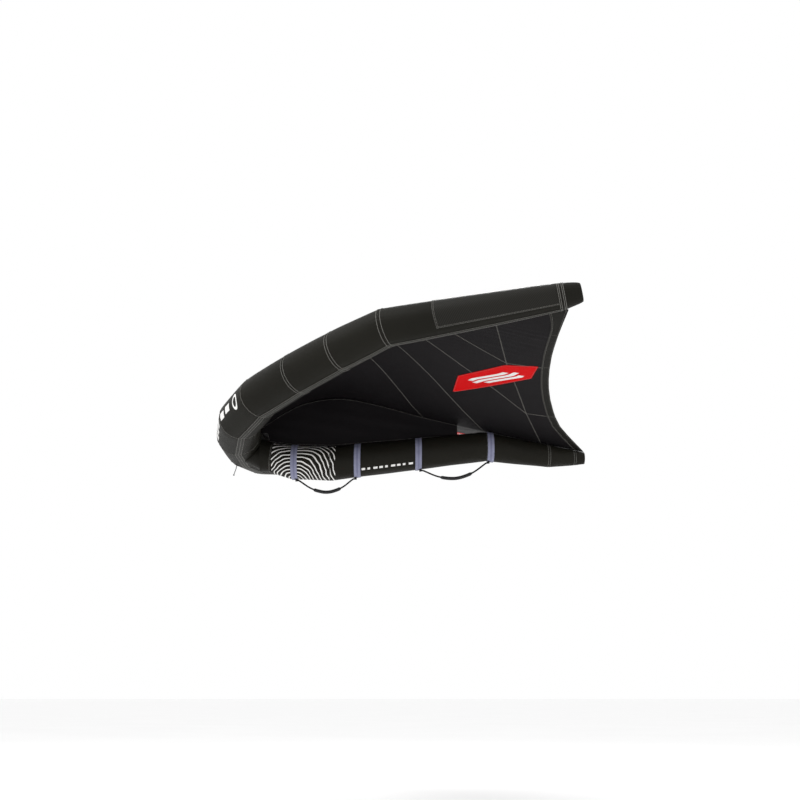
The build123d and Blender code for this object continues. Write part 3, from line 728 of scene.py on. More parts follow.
def seam_band():
    """Doubler along the bottom of the tube, with three rows of stitches."""
    chain = [("center", np.linspace(0.5, 1, 14)[:-1])]
    chain += [(str(i), np.linspace(0, 1, 30)[:-1]) for i in range(1, 6)] + [("6", np.linspace(0, 1, 90))]
    pieces, rows = [], []
    for side, sign in SIDES.items():
        found = []
        for key, shares in chain:
            panel = TUBE["center"] if key == "center" else TUBE[f"{key}_{side}"]
            mirror = (1, sign, 1) if key == "center" else (1, 1, 1)
            for s in shares:
                t = s if key == "6" else 0
                low, high = [a * (1 - t) + b * t for a, b in zip(SEAM_BAND, LAST_BAND)]
                found.append([part * mirror for part in panel.seam(s, np.linspace(low, high, 9))])
        points, normals = np.array(found).swapaxes(0, 1)
        pieces.append(slab(f"seam_band_{side}", points, normals, 0.0004, 0.0018))
        rows += [(points[:, k] + normals[:, k] * 0.0019, normals[:, k]) for k in (1, 4, 7)]
    dress_pair(pieces, "flange", "seam_band")
    stitches("seam_band_stitches", rows, size=BOLD_STITCH)


def tip_patches():
    """Twill doubler round the outer side of each last panel, stitched along three edges."""
    made, rows = [], []
    shares, angles = np.linspace(TIP_PATCH_START, 0.985, 70), np.linspace(*TIP_PATCH, 40)
    low, high = TIP_PATCH
    for side in SIDES:
        panel = TUBE[f"6_{side}"]
        made.append(strip(f"tip_patch_{side}", panel, shares, angles, 0.0003, 0.0016))
        rows += [panel.seam(shares, angle, 0.0017) for angle in (low + 2, high - 2, high - 6)]
        rows += [panel.seam(TIP_PATCH_START + inset, angles, 0.0017) for inset in (0.004, 0.012)]
        edge = panel.seam(TIP_PATCH_START + 0.004, angles)
        tape_from(f"tip_patch_edge_{side}", *edge, SEAM_TAPE, 0.0012, 0.0020)
        hem = panel.seam(shares, high - 3)
        tape_from(f"tip_patch_hem_{side}", *hem, SEAM_TAPE * 0.8, 0.0012, 0.0020)
    dress_pair(made, "twill", "tip_patches")
    stitches("tip_patch_stitches", rows)


def tube_prints():
    """Plain printed bars and a plain oval on the tube between the first rings, on both sides."""
    turn = np.radians(circle(48))
    for side in SIDES:
        first, second = TUBE[f"1_{side}"], TUBE[f"2_{side}"]
        bars = [(first, 0.16), (first, 0.42), (first, 0.68), (second, 0.06), (second, 0.32)]
        for k, (panel, low) in enumerate(bars):
            shares, angles = np.linspace(low, low + 0.18, 14), np.linspace(186 - 3 * k, 206 - 3 * k, 14)
            dress(strip(f"tube_bar_{k}_{side}", panel, shares, angles, 0.0002, 0.0005), "mark")
        rows = [second.point(0.74 + 0.09 * r * np.cos(turn), 186 + 22 * r * np.sin(turn), lift)
                for r, lift in ((1.0, 0.0005), (0.97, 0.0005), (0.66, 0.0005), (0.63, 0.0005), (0.63, 0.0001))]
        dress(grid(f"tube_ring_print_{side}", np.array(rows), wrap=True), "mark")


# ------------------------------------------------------------------ the canopy
PANEL_NODES = [f"canopy_panel_{i}_right" for i in range(1, 9)]


SEARCH = ((0, 0), (0.003, 0), (-0.003, 0), (0, -0.004), (0.006, -0.004), (-0.006, -0.004), (0.01, -0.01))


def span_at(arrays, y):
    """Least and greatest X of a surface's section at one Y."""
    xs = section(arrays, 1, y)[:, 0]
    return xs.min(), xs.max()


class Canopy:
    """The cloth's surface over the right half, read from the CAD panels and smoothed across their ribs."""

    def __init__(self):
        self.arrays = node_arrays(*PANEL_NODES)
        co, tri = self.arrays
        self.tree = BVHTree.FromPolygons([tuple(p) for p in co], [tuple(t) for t in tri])
        self.tip = co[:, 1].max() - 0.004
        self.ys = np.linspace(0, self.tip, 150)
        self.us = np.linspace(0, 1, 90)
        self.front, self.rear = np.array([span_at(self.arrays, max(y, 0.0005)) for y in self.ys]).T
        z = np.array([[self.fall(x0 + 0.002 + (x1 - x0 - 0.004) * u, max(y, 0.0006)) for u in self.us]
                      for y, x0, x1 in zip(self.ys, self.front, self.rear)])
        self.z = self.smooth(z)

    def fall(self, x, y):
        """Height of the first cloth below a place, or beside it where it lies just off the cloth."""
        for dx, dy in SEARCH:
            hit = self.tree.ray_cast(Vector((x + dx, y + dy, 2.0)), Vector((0, 0, -1)))[0]
            if hit is not None:
                return hit.z
        return self.tree.find_nearest(Vector((x, y, 0.5)))[0].z

    def smooth(self, z):
        kernel = np.exp(-0.5 * (np.arange(-9, 10) / 4.0) ** 2)
        kernel /= kernel.sum()
        padded = np.vstack([2 * z[:1] - z[9:0:-1], z, 2 * z[-1:] - z[-2:-11:-1]])
        return np.apply_along_axis(lambda c: np.convolve(c, kernel, "valid"), 0, padded)

    def edge(self, y):
        return np.interp(y, self.ys, self.front), np.interp(y, self.ys, self.rear)

    def height(self, x, y):
        """Height of the cloth's upper face; x and y are arrays, y on either side."""
        y = np.minimum(np.abs(np.asarray(y, float)), self.tip)
        x0, x1 = self.edge(y)
        u = np.clip((x - x0) / (x1 - x0), 0, 1) * (len(self.us) - 1)
        i = np.interp(y, self.ys, np.arange(len(self.ys)))
        i0, u0 = np.minimum(i.astype(int), len(self.ys) - 2), np.minimum(u.astype(int), len(self.us) - 2)
        fi, fu = i - i0, u - u0
        z = self.z
        flat = (z[i0, u0] * (1 - fu) + z[i0, u0 + 1] * fu) * (1 - fi)
        flat = flat + (z[i0 + 1, u0] * (1 - fu) + z[i0 + 1, u0 + 1] * fu) * fi
        return flat + self.wrinkle(x, y, (x - x0) / (x1 - x0))

    def wrinkle(self, x, y, u):
        """Tension folds: fine ones near the tip and along the tube, and a slow billow."""
        edge = np.clip(u * 6, 0, 1) * np.clip((1 - u) * 8, 0, 1)
        centre = np.clip(y / 0.12, 0, 1)
        tip = np.exp(-(((y - 1.12) / 0.16) ** 2))
        lie = y + 0.10 * x
        fine = np.sin(lie * 197 + 2.0 * np.sin(5 * x)) * (0.5 + 0.5 * np.sin(7 * x + 23 * y))
        coarse = np.sin(lie * 131 + 3.0 * np.sin(4 * x + 1)) * (0.5 + 0.5 * np.sin(11 * x - 17 * y))
        near_tip = (fine * 0.0011 + coarse * 0.0012) * tip
        patch = (0.5 + 0.5 * np.sin(6 * x - 9 * y + 1)) * (0.5 + 0.5 * np.sin(13 * y + 4 * x))
        tube = np.exp(-(((u - 0.22) / 0.16) ** 2)) * np.exp(-(((y - 0.62) / 0.38) ** 2))
        middle = np.sin((y - 0.28 * x) * 118 + 2.6 * np.sin(4 * x + 1) + 1.5 * np.sin(9 * y))
        slow = 0.0018 * np.sin(9 * y + 1.3 * x) * np.sin(5 * x + 2)
        return (near_tip + middle * tube * patch * 0.0016 + slow) * edge * centre

    def place(self, x, y, drop=0.0):
        x, y = np.broadcast_arrays(np.asarray(x, float), np.asarray(y, float))
        return np.stack([x, y, self.height(x, y) - drop], -1)

    def seam(self, x, y, step=0.004):
        """Places on the cloth and its upward normals there."""
        dx = (self.height(x + step, y) - self.height(x - step, y)) / (2 * step)
        dy = (self.height(x, y + step) - self.height(x, y - step)) / (2 * step)
        return self.place(x, y), unit(np.stack([-dx, -dy, np.ones_like(dx)], -1))


CANOPY = Canopy()


def canopy_sheet():
    """One continuous sheet from tip to tip, its front edge turned under the tube's seam."""
    ys = np.r_[-CANOPY.ys[:0:-1], CANOPY.ys]
    us = np.linspace(0, 1, 120)
    x0, x1 = CANOPY.edge(np.abs(ys))
    x = x0[:, None] + (x1 - x0)[:, None] * us
    y = np.repeat(ys[:, None], len(us), 1)
    points = CANOPY.place(x, y, 0.0002)
    points[:, 0, 0] -= 0.004
    normals = grid_normals(points)
    normals *= np.sign(normals[..., 2:])
    piece = slab("canopy_sheet", points, normals, -0.0010, 0.0, np.stack([x, y], -1))
    dress(piece, "canopy", PANEL_NODES + [n.replace("right", "left") for n in PANEL_NODES])


def rear_line(node):
    """End points in plan of a panel's rear seam, from its root to where it meets the tube."""
    arrays = node_arrays(node)
    ys = arrays[0][:, 1]
    return [(span_at(arrays, y)[1], y) for y in (ys.min() + 0.002, ys.max() - 0.02)]


def front_corner(node):
    """Where a panel's front edge meets its outer end, in plan."""
    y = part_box(node)[1].y
    return span_at(node_arrays(node), y - 0.002)[0], y


def extend(start, end, amount=0.018):
    """A line in plan, carried on past its end by an amount of Y."""
    (x0, y0), (x1, y1) = start, end
    return [start, (x1 + (x1 - x0) / (y1 - y0) * amount, y1 + amount)]


def seam_lines():
    """The canopy's seams on the right half, in plan."""
    a, b, (_, c_top), (_, d_top), (_, e_top) = [rear_line(node) for node in PANEL_NODES[:5]]
    root = (span_at(node_arrays(PANEL_NODES[7]), 0.004)[0], 0.0)
    c, d = front_corner(PANEL_NODES[7]), front_corner(PANEL_NODES[6])
    aft = [[(x, y), (CANOPY.edge(y)[1] - 0.006, y)] for x, y in (c, d)]
    return [extend(*a), extend(*b), extend(c, c_top), extend(d, d_top),
            [root, c], [c, d], extend(d, e_top, 0.016), *aft]


def plan_line(ends):
    """Even places between two points in plan."""
    (x0, y0), (x1, y1) = ends
    share = np.linspace(0, 1, 80)
    return x0 + (x1 - x0) * share, y0 + (y1 - y0) * share


def both_faces(line, normals, under, over):
    """The same row of stitches on the lower and the upper face of the cloth."""
    return [(line - normals * under, -normals), (line + normals * over, normals)]


def canopy_seams():
    """Folded seams sewn through the canopy, seen on both faces."""
    rows = []
    for k, ends in enumerate(seam_lines()):
        for side, sign in SIDES.items():
            x, y = plan_line(ends)
            line, normals = CANOPY.seam(x, y * sign)
            across = np.cross(unit(np.gradient(line, axis=0)), normals)
            points = np.stack([line + across * w * SEAM_TAPE / 2 for w in (-1, -0.6, 0, 0.6, 1)], 1)
            piece = slab(f"canopy_seam_{k}_{side}", points, np.repeat(normals[:, None], 5, 1), -0.0021, 0.0008)
            dress(piece, "tape")
            for shift in (-0.0018, 0.0018):
                rows += both_faces(line + across * shift, normals, 0.0021, 0.0008)
    stitches("canopy_stitches", rows, step=0.009)


def trailing_edge():
    """Doubler folded round the trailing edge, wider at the tip, with stitches along its inner edge."""
    ys = np.linspace(-CANOPY.tip + 0.003, CANOPY.tip - 0.003, 331)
    front, rear = CANOPY.edge(np.abs(ys))
    slope = np.gradient(rear, ys)
    corner = np.clip((np.abs(ys) - (CANOPY.tip - 0.20)) / 0.16, 0, 1)
    width = TE_BAND + (TE_BAND_TIP - TE_BAND) * corner**2
    reach = np.minimum(width * np.sqrt(1 + slope**2), np.maximum(rear - front - 0.004, 0.004))
    share = np.linspace(0, 1, 10)
    points, normals = CANOPY.seam(rear[:, None] - reach[:, None] * (1 - share), np.repeat(ys[:, None], 10, 1))
    piece = slab("trailing_edge_band", points, normals, -0.0026, 0.0007)
    dress(piece, "trim", ["te_bands"])
    rows = []
    for column in (0, 1):
        line = points[:, column] * 0.98 + points[:, column + 1] * 0.02
        rows += both_faces(line, normals[:, column], 0.0027, 0.0008)
    rows.append((points[:, 8] - normals[:, 8] * 0.0027, -normals[:, 8]))
    tapes = {"inner_seam": np.s_[:, 0]}
    for k, at in enumerate((0.32, 0.82, 1.13)):
        for side, sign in SIDES.items():
            tapes[f"join_{k}_{side}"] = int(np.argmin(np.abs(ys - at * sign)))
    for name, cut in tapes.items():
        line = points[cut] - normals[cut] * 0.0026
        tape_from(f"trailing_edge_{name}", line, -normals[cut], SEAM_TAPE, 0.0, 0.0009)
    stitches("trailing_edge_stitches", rows)


def rim_of(grid_points):
    """The rim of a grid, from its first corner round to the second last point."""
    return np.vstack([grid_points[:, 0], grid_points[-1, 1:], grid_points[-2::-1, -1], grid_points[0, -2::-1]])


def accent_patches():
    """The red panels, each with a plain white mark of three slanting bars."""
    arrays = node_arrays("accent_patches")
    reach = arrays[0][arrays[0][:, 1] > 0.01][:, 1]
    ys = np.linspace(reach.min() + 0.004, reach.max() - 0.004, 60)
    front, rear = np.array([span_at(arrays, y) for y in ys]).T
    x = front[:, None] + (rear - front)[:, None] * np.linspace(0, 1, 40)
    bars = ((0.30, 0.38, 0.74), (0.48, 0.34, 0.78), (0.66, 0.40, 0.72))
    made, rows = [], []
    for side, sign in SIDES.items():
        points, normals = CANOPY.seam(x, np.repeat(ys[:, None] * sign, 40, 1))
        made.append(slab(f"accent_patch_{side}", points, normals, -0.0032, -0.0012))
        rim, rim_normals = rim_of(points), rim_of(normals)
        rim = rim + unit(points.mean((0, 1)) - rim) * 0.006
        rows.append((rim - rim_normals * 0.0034, -rim_normals))
        for k, (start, low, high) in enumerate(bars):
            v = np.linspace(low, high, 16)[:, None]
            u = np.linspace(start, start + 0.12, 10)[None] + (v - 0.5) * 0.25
            yy = (ys[0] + (ys[-1] - ys[0]) * v) * np.ones_like(u)
            f, r = np.interp(yy, ys, front), np.interp(yy, ys, rear)
            mark = CANOPY.seam(f + (r - f) * np.clip(u, 0.05, 0.95), yy * sign)
            dress(slab(f"accent_bar_{k}_{side}", *mark, -0.0036, -0.0033), "mark")
    dress_pair(made, "accent", "accent_patches")
    stitches("accent_stitches", rows)


# ------------------------------------------------------------------ the strut
STRUT_NODES = ["strut_front", "strut_mid", "strut_rear", "strut_tail", "strut_end_cap"]


class Strut(Cloth):
    """Centre height and radius along the strut, read from upright sections of its panels."""

    def __init__(self):
        arrays = node_arrays(*STRUT_NODES)
        low, high = arrays[0][:, 0].min(), arrays[0][:, 0].max()
        self.xs = np.linspace(low + 0.004, high - 0.006, 330)
        cuts = [section(arrays, 0, x) for x in self.xs]
        self.r = np.array([np.abs(cut[:, 1]).max() for cut in cuts])
        self.z = np.array([cut[:, 2].min() for cut in cuts]) + self.r
        self.xs[-1] = high - 0.001

    def centre(self, x):
        return np.interp(x, self.xs, self.z)

    def radius(self, x):
        return np.interp(x, self.xs, self.r)

    def point(self, x, angle, lift=0.0):
        """Angle 0 faces starboard, 90 up."""
        x, angle = np.broadcast_arrays(np.asarray(x, float), np.asarray(angle, float))
        a = np.radians(angle)
        r = self.radius(x) + self.swell(x, a) + lift
        return np.stack([x, r * np.cos(a), self.centre(x) + r * np.sin(a)], -1)

    def swell(self, x, a):
        low = 0.0006 * np.sin(3 * a + 11 * x) + 0.0005 * np.sin(7 * a - 23 * x)
        for seam in STRUT_SEAMS:
            d = np.abs(x - seam)
            low = low - 0.0022 * np.exp(-((d / 0.010) ** 2))
            low = low + PUCKER * np.sin(37 * a + seam * 50) * np.exp(-d / 0.024)
        for bend in STRUT_BENDS:
            d = np.abs(x - bend)
            fold = np.clip(np.sin(a), 0, 1) * np.sin(90 * (x - bend) + 3 * a)
            low = low + 0.0022 * fold * np.exp(-((d / 0.06) ** 2))
        return low


STRUT_SEAMS = [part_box(n)[0].x + 0.002 for n in STRUT_NODES[1:]]
STRUT_BENDS = STRUT_SEAMS[:2]
STRUT = Strut()


def tube_wall(z, gap):
    """How far aft the tube's middle panel reaches at each height, with a gap round it."""
    nose = RINGS[0]
    return nose.centre[0] + np.sqrt(np.maximum((nose.radius + gap) ** 2 - (z - nose.centre[2]) ** 2, 0))


def strut():
    """Panels of the strut, its ring seams and the printed front."""
    ends = [STRUT.xs[0]] + STRUT_SEAMS + [STRUT.xs[-1]]
    nose, angles = RINGS[0], circle(144)
    around = np.radians(np.append(angles, 360.0) - 270) * STRUT_MAP_RADIUS
    for name, node, x0, x1 in zip(("front", "mid", "rear", "tail", "cap"), STRUT_NODES, ends, ends[1:]):
        xs = np.linspace(x0, x1, max(12, int((x1 - x0) / 0.009)))
        points = STRUT.point(*lattice(xs, angles))
        away = np.hypot(points[..., 0] - nose.centre[0], points[..., 2] - nose.centre[2])
        wall = tube_wall(points[..., 2], 0.0015)
        points[..., 0] = np.where(away < nose.radius + 0.0015, wall, points[..., 0])
        piece = grid(f"strut_{name}_cloth", points, np.stack(np.meshgrid(around, xs), -1)[..., ::-1], wrap=True)
        piece.data.flip_normals()
        dress(piece, "strut" if name in ("front", "mid") else "strut_plain", [node])
    rows = []
    for k, seam in enumerate(STRUT_SEAMS):
        for j, shift in enumerate((-0.006, 0.006) if k in (2, 3) else (0.0,)):
            line, normals = STRUT.seam(seam + shift, np.linspace(0, 360, 145))
            material = "tape" if k > 1 else "trim"
            tape_from(f"strut_ring_{k}_{j}", line, normals, SEAM_TAPE, 0.0002, 0.0012, material)
            rows.append((line + normals * 0.0013, normals))
    xs = np.linspace(STRUT.xs[0] + 0.14, STRUT.xs[-1] - 0.003, 300)
    rows += [STRUT.seam(xs, angle, 0.0003) for angle in (95.0, 85.0)]
    stitches("strut_stitches", rows)
    tail_cover()
    collar()
    strut_print()


def tail_cover():
    """Gathered end of the strut: pleats drawn in to a small flat button."""
    x = STRUT.xs[-1]
    steps = ((1.0, 0.0), (0.93, 0.0005), (0.75, 0.001), (0.5, 0.0012), (0.25, 0.0008), (0.06, 0.0006))
    edge, middle, aft = STRUT.point(x, circle(90)), np.array([x, 0, STRUT.centre(x)]), np.array([1, 0, 0])
    piece = gathered_end("strut_tail_cover", edge, middle, aft, 12, 0.06, steps)
    piece.data.flip_normals()
    dress(piece, "trim")


def strut_print():
    """Plain printed dashes low on both flanks between the second and third straps."""
    for side, base, end in (("left", 222, 230.5), ("right", 318, 309.5)):
        for k in range(9):
            x0 = 0.213 + k * 0.036
            xs = np.linspace(x0, x0 + (0.022, 0.016, 0.026)[k % 3], 6)
            piece = strip(f"strut_dash_{k}_{side}", STRUT, xs, np.linspace(base, end, 8), 0.0002, 0.0006)
            dress(piece, "mark")


def collar():
    """Doubler that fairs the strut's front into the tube, sewn down along its rear edge."""
    angles = circle(144)
    rear = COLLAR_REAR + 0.010 * np.cos(np.radians(angles - 90))
    rows = []
    for t in np.linspace(0, 1, 16):
        where = STRUT.point(rear + (COLLAR_FRONT - rear) * t, angles, 0.0010 + 0.014 * t**2.4)
        where[:, 0] = np.maximum(where[:, 0], tube_wall(where[:, 2], 0.0010))
        rows.append(where)
    turns = np.append(angles, 360.0)
    uv = np.stack(np.meshgrid(turns / 360 * 0.66, np.linspace(0, 0.07, 16)), -1)[..., ::-1]
    dress(grid("strut_collar", np.array(rows), uv, wrap=True), "tube")
    seams = [[np.vstack([part, part[:1]]) for part in STRUT.seam(rear - shift, angles, 0.0016)]
             for shift in (0.004, 0.010)]
    stitches("collar_stitches", seams)


def web():
    """Upright cloth between the strut and the canopy, with a soft wave in it."""
    arrays = node_arrays("web_panel")
    low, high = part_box("web_panel")
    xs = np.linspace(CANOPY.edge(0.0)[0] + 0.002, high.x - 0.001, 160)
    share = np.linspace(0, 1, 26)
    bottom = STRUT.centre(xs) + STRUT.radius(xs) - 0.001
    top = CANOPY.height(xs, np.zeros(len(xs))) - 0.0008
    cut = np.array([section(arrays, 0, max(x, low.x + 0.003))[:, 2].min() for x in xs])
    bottom = np.minimum(np.maximum(bottom, cut - 0.006), top - 0.002)
    z = bottom[:, None] + (top - bottom)[:, None] * share
    x = np.maximum(np.repeat(xs[:, None], 26, 1), tube_wall(z, 0.0008))
    belly = np.sin(math.pi * share)[None]
    y = 0.0022 * belly * np.sin(x * 17 + z * 9) + 0.0010 * belly * np.sin(z * 70 + x * 12)
    points = np.stack([x, y, z], -1)
    normals = grid_normals(points)
    piece = slab("web_cloth", points, normals, -0.0005, 0.0005)
    dress(piece, "canopy", ["web_panel"])
    rows = []
    for row in (1, 24):
        rows += both_faces(points[:, row], normals[:, row], 0.0006, 0.0006)
    stitches("web_stitches", rows)
    hem = points[-1] + np.array([0.001, 0, 0])
    tape_from("web_rear_hem", hem, np.repeat([[1.0, 0, 0]], 26, 0), 0.006, -0.0005, 0.001)


# ------------------------------------------------------------------ straps and handles
def joint(name):
    """A point on a joint's axis and the axis's direction, from the frame."""
    found = next(j for j in frame["joints"] if j["name"] == name)
    return np.array(found["pos_m"], float), np.array(found["axis"], float)


def strap(number):
    """Webbing round the strut, sewn down over itself, with the keeper loop under it."""
    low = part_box(f"strap_{number}")[0]
    x0 = low.x + 0.0004
    x, a = np.meshgrid(np.linspace(x0, x0 + STRAP_WIDTH, 15), np.linspace(0, 360, 121))
    crown = 0.0004 * np.sin(np.radians(a) * 9 + number) * np.abs(2 * (x - x0) / STRAP_WIDTH - 1) ** 3
    points, out = STRUT.seam(x, a)
    points = points + out * (crown - STRUT.swell(x, np.radians(a)))[..., None]
    uv = np.stack([x - x0, np.radians(a) * STRUT_MAP_RADIUS], -1)
    piece = slab(f"strap_{number}_webbing", points, out, 0.0011, 0.0011 + STRAP_THICKNESS, uv)
    dress(piece, "strap", [f"strap_{number}"])
    keeper(number, x0)
    lap(number, x0)


def lap(number, x0):
    """Where the webbing's end is sewn down, with a crossed box of stitches."""
    start, width = x0 + LAP_INSET, STRAP_WIDTH - 2 * LAP_INSET
    x, angle = np.meshgrid(np.linspace(start, start + width, 9), np.linspace(*LAP_SPAN, 14))
    uv = np.stack([x - x0, np.radians(angle) * STRUT_MAP_RADIUS], -1)
    dress(slab(f"strap_{number}_lap", *STRUT.seam(x, angle), 0.0028, 0.0042, uv), "strap")
    a, b, c, d = (0.15, 1), (0.85, 1), (0.85, 12), (0.15, 12)
    corners = np.array([a, b, c, d, a, c, b, d])
    share = np.linspace(0, 1, 10)[:-1, None]
    u, r = np.vstack([one * (1 - share) + two * share for one, two in zip(corners, corners[1:])]).T
    line = STRUT.seam(start + width * u, LAP_SPAN[0] + (LAP_SPAN[1] - LAP_SPAN[0]) * r / 13, 0.0043)
    stitches(f"strap_{number}_stitches", [line], step=0.0036, size=FINE_STITCH)


def keeper(number, x0):
    """Loop of narrow webbing sewn under the strap, round the handle's end."""
    start, axis = joint("front_handle_swing" if number < 3 else "rear_handle_swing")
    middle = x0 + (0.032 if number in (1, 3) else 0.0076)
    centre = start + axis * (middle - start[0]) / axis[0]
    floor_z = STRUT.centre(middle) - STRUT.radius(middle) - 0.0011 - STRAP_THICKNESS - centre[2]
    radius = KEEPER_INNER + KEEPER_WALL / 2
    profile = [(-0.017, floor_z - 0.0002), (-0.010, floor_z - 0.0004)]
    profile += [(-radius * math.cos(t), -radius * math.sin(t)) for t in np.linspace(-0.55, math.pi + 0.55, 21)]
    profile += [(0.010, floor_z - 0.0004), (0.017, floor_z - 0.0002)]
    across = centre + np.linspace(-KEEPER_HALF_WIDTH, KEEPER_HALF_WIDTH, 7)[:, None] * axis / axis[0]
    points = np.array([across + (0, y, min(z, floor_z - 0.0002)) for y, z in profile])
    normals = grid_normals(points)
    flip = np.sign((normals * (points - centre)).sum(-1).mean())
    piece = slab(f"strap_{number}_keeper", points, normals * flip, -KEEPER_WALL / 2, KEEPER_WALL / 2)
    dress(piece, "black_webbing")


def centre_line(node, count):
    """Middle of a rope-like node at even places along X."""
    arrays = node_arrays(node)
    low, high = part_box(node)
    xs = np.linspace(low.x + 0.0016, high.x - 0.0016, count)
    cuts = [section(arrays, 0, x)[:, 2] for x in xs]
    return np.array([[x, 0.0, (z.min() + z.max()) / 2] for x, z in zip(xs, cuts)])


def soften(line, rounds):
    """Evens out a line's small kinks; its ends stay."""
    for _ in range(rounds):
        line[1:-1] = line[1:-1] * 0.5 + (line[:-2] + line[2:]) * 0.25
    return line


def handle(name):
    """Rolled webbing with a sewn spine, and a padded grip with raised rings round its middle."""
    line = soften(centre_line(f"{name}_strap", 140), 6)
    low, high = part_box(f"{name}_grip")

    def rolled(run, angle):
        return 0.93 + 0.05 * np.cos(2 * angle) + 0.035 * np.cos(angle) ** 24

    piece = swept(f"{name}_rope", line, HANDLE_RADIUS, 20, rolled)
    dress(piece, "rope", [f"{name}_strap"], name)
    spine = line[6:-6] + np.array([0, 0, -HANDLE_RADIUS * 0.99])
    down = np.repeat([[0.0, 0.0, -1.0]], len(spine), 0)
    stitches(f"{name}_spine_stitches", [(spine, down)], 0.006, SPINE_STITCH, "dark_thread", name)
    inside = (line[:, 0] > low.x + 0.001) & (line[:, 0] < high.x - 0.001)
    fine = pick_evenly(line[inside], 260)
    share = np.linspace(0, 1, 260)
    taper = np.clip(np.minimum(share, 1 - share) / 0.05, 0, 1) ** 0.5
    rib = 0.5 + 0.5 * np.cos(share * 2 * math.pi * 26)
    radius = HANDLE_RADIUS + 0.0006 + (GRIP_RADIUS - HANDLE_RADIUS - 0.0006) * taper * (0.93 + 0.07 * rib)

    def padded(run, angle):
        seam = 0.03 * np.exp(-((np.sin(angle / 2 - math.pi / 4)) / 0.06) ** 2)
        return 1 + 0.012 * np.cos(3 * angle + run * 9) - seam

    def bound(run, angle):
        return 1 + 0.04 * np.cos(12 * angle)

    grip = swept(f"{name}_padded_grip", fine, radius, 32, padded)
    dress(grip, "grip", [f"{name}_grip"], name)
    for k, x in enumerate((low.x + 0.006, high.x - 0.006)):
        near = pick_evenly(line[np.abs(line[:, 0] - x) < 0.006], 9)
        binding = swept(f"{name}_binding_{k}", near, HANDLE_RADIUS + 0.0016, 24, bound)
        dress(binding, "black_webbing", body=name)


# ------------------------------------------------------------------ fittings
def route_curve(name, route, radius):
    """Smooth line through the air that a cord's or hose's route pulls into shape."""
    data = bpy.data.curves.new(name, "CURVE")
    data.dimensions = "3D"
    spline = data.splines.new("NURBS")
    spline.points.add(len(route) - 1)
    for point, place in zip(spline.points, route):
        point.co = (*place, 1)
    spline.order_u = 3
    spline.use_endpoint_u = True
    spline.resolution_u = 12
    data.bevel_depth = radius
    data.bevel_resolution = 6
    data.use_fill_caps = True
    return into_scene(name, data)


def hose():
    """The link hose, between the two fittings that stay as CAD pieces."""
    piece = route_curve("hose_tube", HOSE_ROUTE, HOSE_RADIUS)
    dress(piece, "hose", ["link_hose"])
    for node in ("hose_fittings", "hose_clip"):
        finish_node(node, "fitting", 0.0009)


def finish_node(node, material, bevel):
    """A CAD piece that stays: its material, and edges rounded as moulded."""
    piece, material = frame["nodes"][node], M[material]
    piece.data.materials.clear()
    piece.data.materials.append(material)
    rounding = piece.modifiers.new("edges", "BEVEL")
    rounding.width = bevel
    rounding.segments = 3
    rounding.limit_method = "ANGLE"
    rounding.angle_limit = math.radians(35)


def pigtail():
    """Braided line under the nose, its knot, and the tab that it is sewn into."""
    cord = route_curve("pigtail_line", PIGTAIL_ROUTE, PIGTAIL_RADIUS)
    dress(cord, "cord", ["leash_pigtail"])
    end = np.array(PIGTAIL_ROUTE[-1])
    t = np.linspace(0, 2 * math.pi, 121)
    knot = np.stack([np.sin(t) + 2 * np.sin(2 * t), np.cos(t) - 2 * np.cos(2 * t), -np.sin(3 * t)], -1)
    knot = knot * np.array([0.00105, 0.00105, 0.0019]) + end + np.array([0, 0, -0.0005])
    piece = swept("pigtail_knot", knot, 0.0020, 12)
    dress(piece, "cord", ["leash_knot"])
    low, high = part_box("leash_tab")
    panel = TUBE["center"]
    first, last = panel.start.centre[1], panel.end.centre[1]
    shares = (np.linspace(low.y + 0.0005, high.y - 0.0005, 9) - first) / (last - first)
    tab = strip("leash_tab_webbing", panel, shares, np.linspace(238, 252, 16), 0.0004, 0.0020)
    dress(tab, "black_webbing", ["leash_tab"])


def valve():
    """The inflation valve's three CAD pieces."""
    finish_node("valve_base", "valve", 0.0006)
    finish_node("valve_cap", "valve", 0.0006)
    finish_node("valve_flap", "flap", 0.0002)


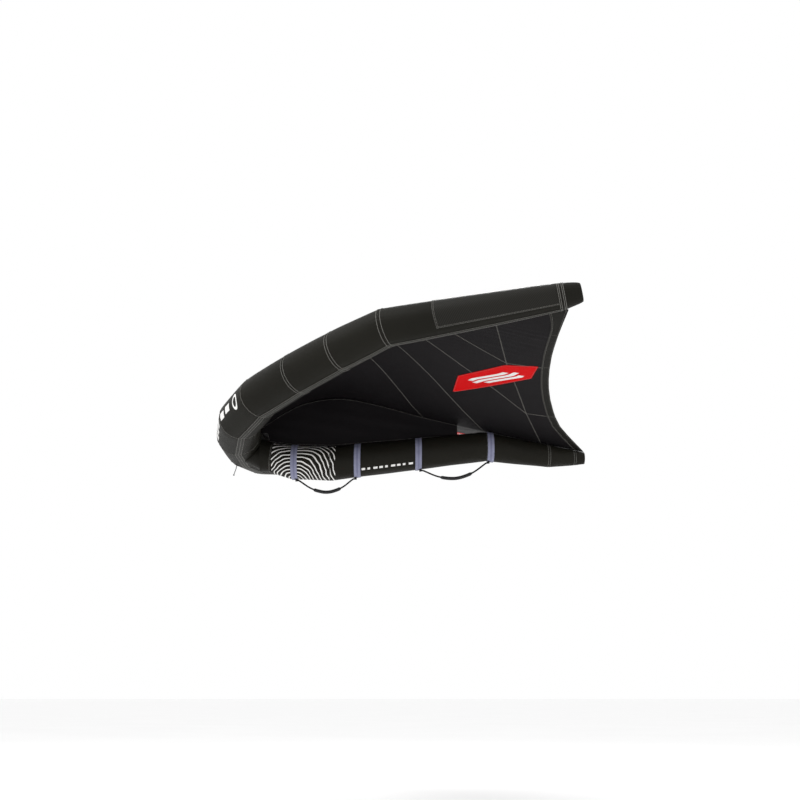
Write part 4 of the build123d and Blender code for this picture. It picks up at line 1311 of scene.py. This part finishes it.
def bladders():
    """The two inflated bladders inside the cloth, as thin film with soft creases."""
    angles = circle(72)
    keys = ["1", "2", "3", "4", "5", "6", "cap"]
    film = []
    for side, order, span in (("left", keys[::-1], (0.93, 0)), ("right", keys, (0, 0.93))):
        for key in order:
            for s in np.linspace(*span, 9):
                ripple = FILM_RIPPLE * (1 + np.sin(np.radians(angles) * 23 + 40 * s))
                film.append(TUBE[f"{key}_{side}"].point(s, angles, -FILM_INSET - ripple))
    dress(grid("tube_bladder_film", np.array(film), wrap=True), "film", ["le_bladder"])
    x, a = lattice(np.linspace(STRUT.xs[0] + 0.05, STRUT.xs[-1] - 0.012, 120), angles)
    points = STRUT.point(x, a, -FILM_INSET - FILM_RIPPLE * (1 + np.sin(np.radians(a) * 23 + 60 * x)))
    points[..., 0] = np.maximum(points[..., 0], tube_wall(points[..., 2], 0.010))
    dress(grid("strut_bladder_film", points, wrap=True), "film", ["strut_bladder"])


# ------------------------------------------------------------------ stage
def area_light(name, place, target, size, power):
    data = bpy.data.lights.new(name, "AREA")
    data.shape = "DISK"
    data.size = size
    data.energy = power
    lamp = into_scene(name, data)
    lamp.location = place
    lamp.rotation_euler = (Vector(target) - Vector(place)).to_track_quat("-Z", "Y").to_euler()


def stage():
    """White floor and world, three lamps and the camera that was fitted to the photograph."""
    world = bpy.data.worlds.new("studio")
    bpy.context.scene.world = world
    world.use_nodes = True
    background = world.node_tree.nodes["Background"]
    background.inputs["Color"].default_value = (1, 1, 1, 1)
    background.inputs["Strength"].default_value = 1.0
    corners = [(x * 400, y * 400, FLOOR_Z) for x, y in ((-1, -1), (1, -1), (1, 1), (-1, 1))]
    floor = mesh_object("floor", corners, [(0, 1, 2, 3)], smooth=False)
    n = Nodes("floor_paint", "tube_fabric")
    tone = n.ramp(n.noise(0.6, 3.0), [(0.3, (0.935, 0.935, 0.935)), (0.7, (0.955, 0.955, 0.955))])
    n.link(tone, n.shader.inputs["Base Color"])
    n.shader.inputs["Roughness"].default_value = 0.9
    floor.data.materials.append(n.material)
    area_light("key", (-2.2, -2.6, 4.2), (0.4, 0, 0.4), 1.1, 110)
    area_light("rim", (1.2, 2.8, 3.8), (0.6, 0, 0.5), 1.6, 110)
    area_light("fill", (0.6, -4.5, -1.0), (0.5, 0, 0.4), 3.0, 12)
    camera = into_scene("camera", bpy.data.cameras.new("camera"))
    camera.data.lens = LENS
    camera.data.sensor_width = 36
    camera.location = CAMERA_PLACE
    camera.rotation_euler = (math.radians(CAMERA_TILT), 0, 0)
    bpy.context.scene.camera = camera
    bpy.context.scene.view_settings.view_transform = "Standard"


def main():
    leading_edge()
    seam_band()
    tip_patches()
    tube_prints()
    strut()
    canopy_sheet()
    canopy_seams()
    trailing_edge()
    accent_patches()
    web()
    for number in range(1, 5):
        strap(number)
    handle("front_handle")
    handle("rear_handle")
    hose()
    pigtail()
    valve()
    bladders()
    stage()


main()
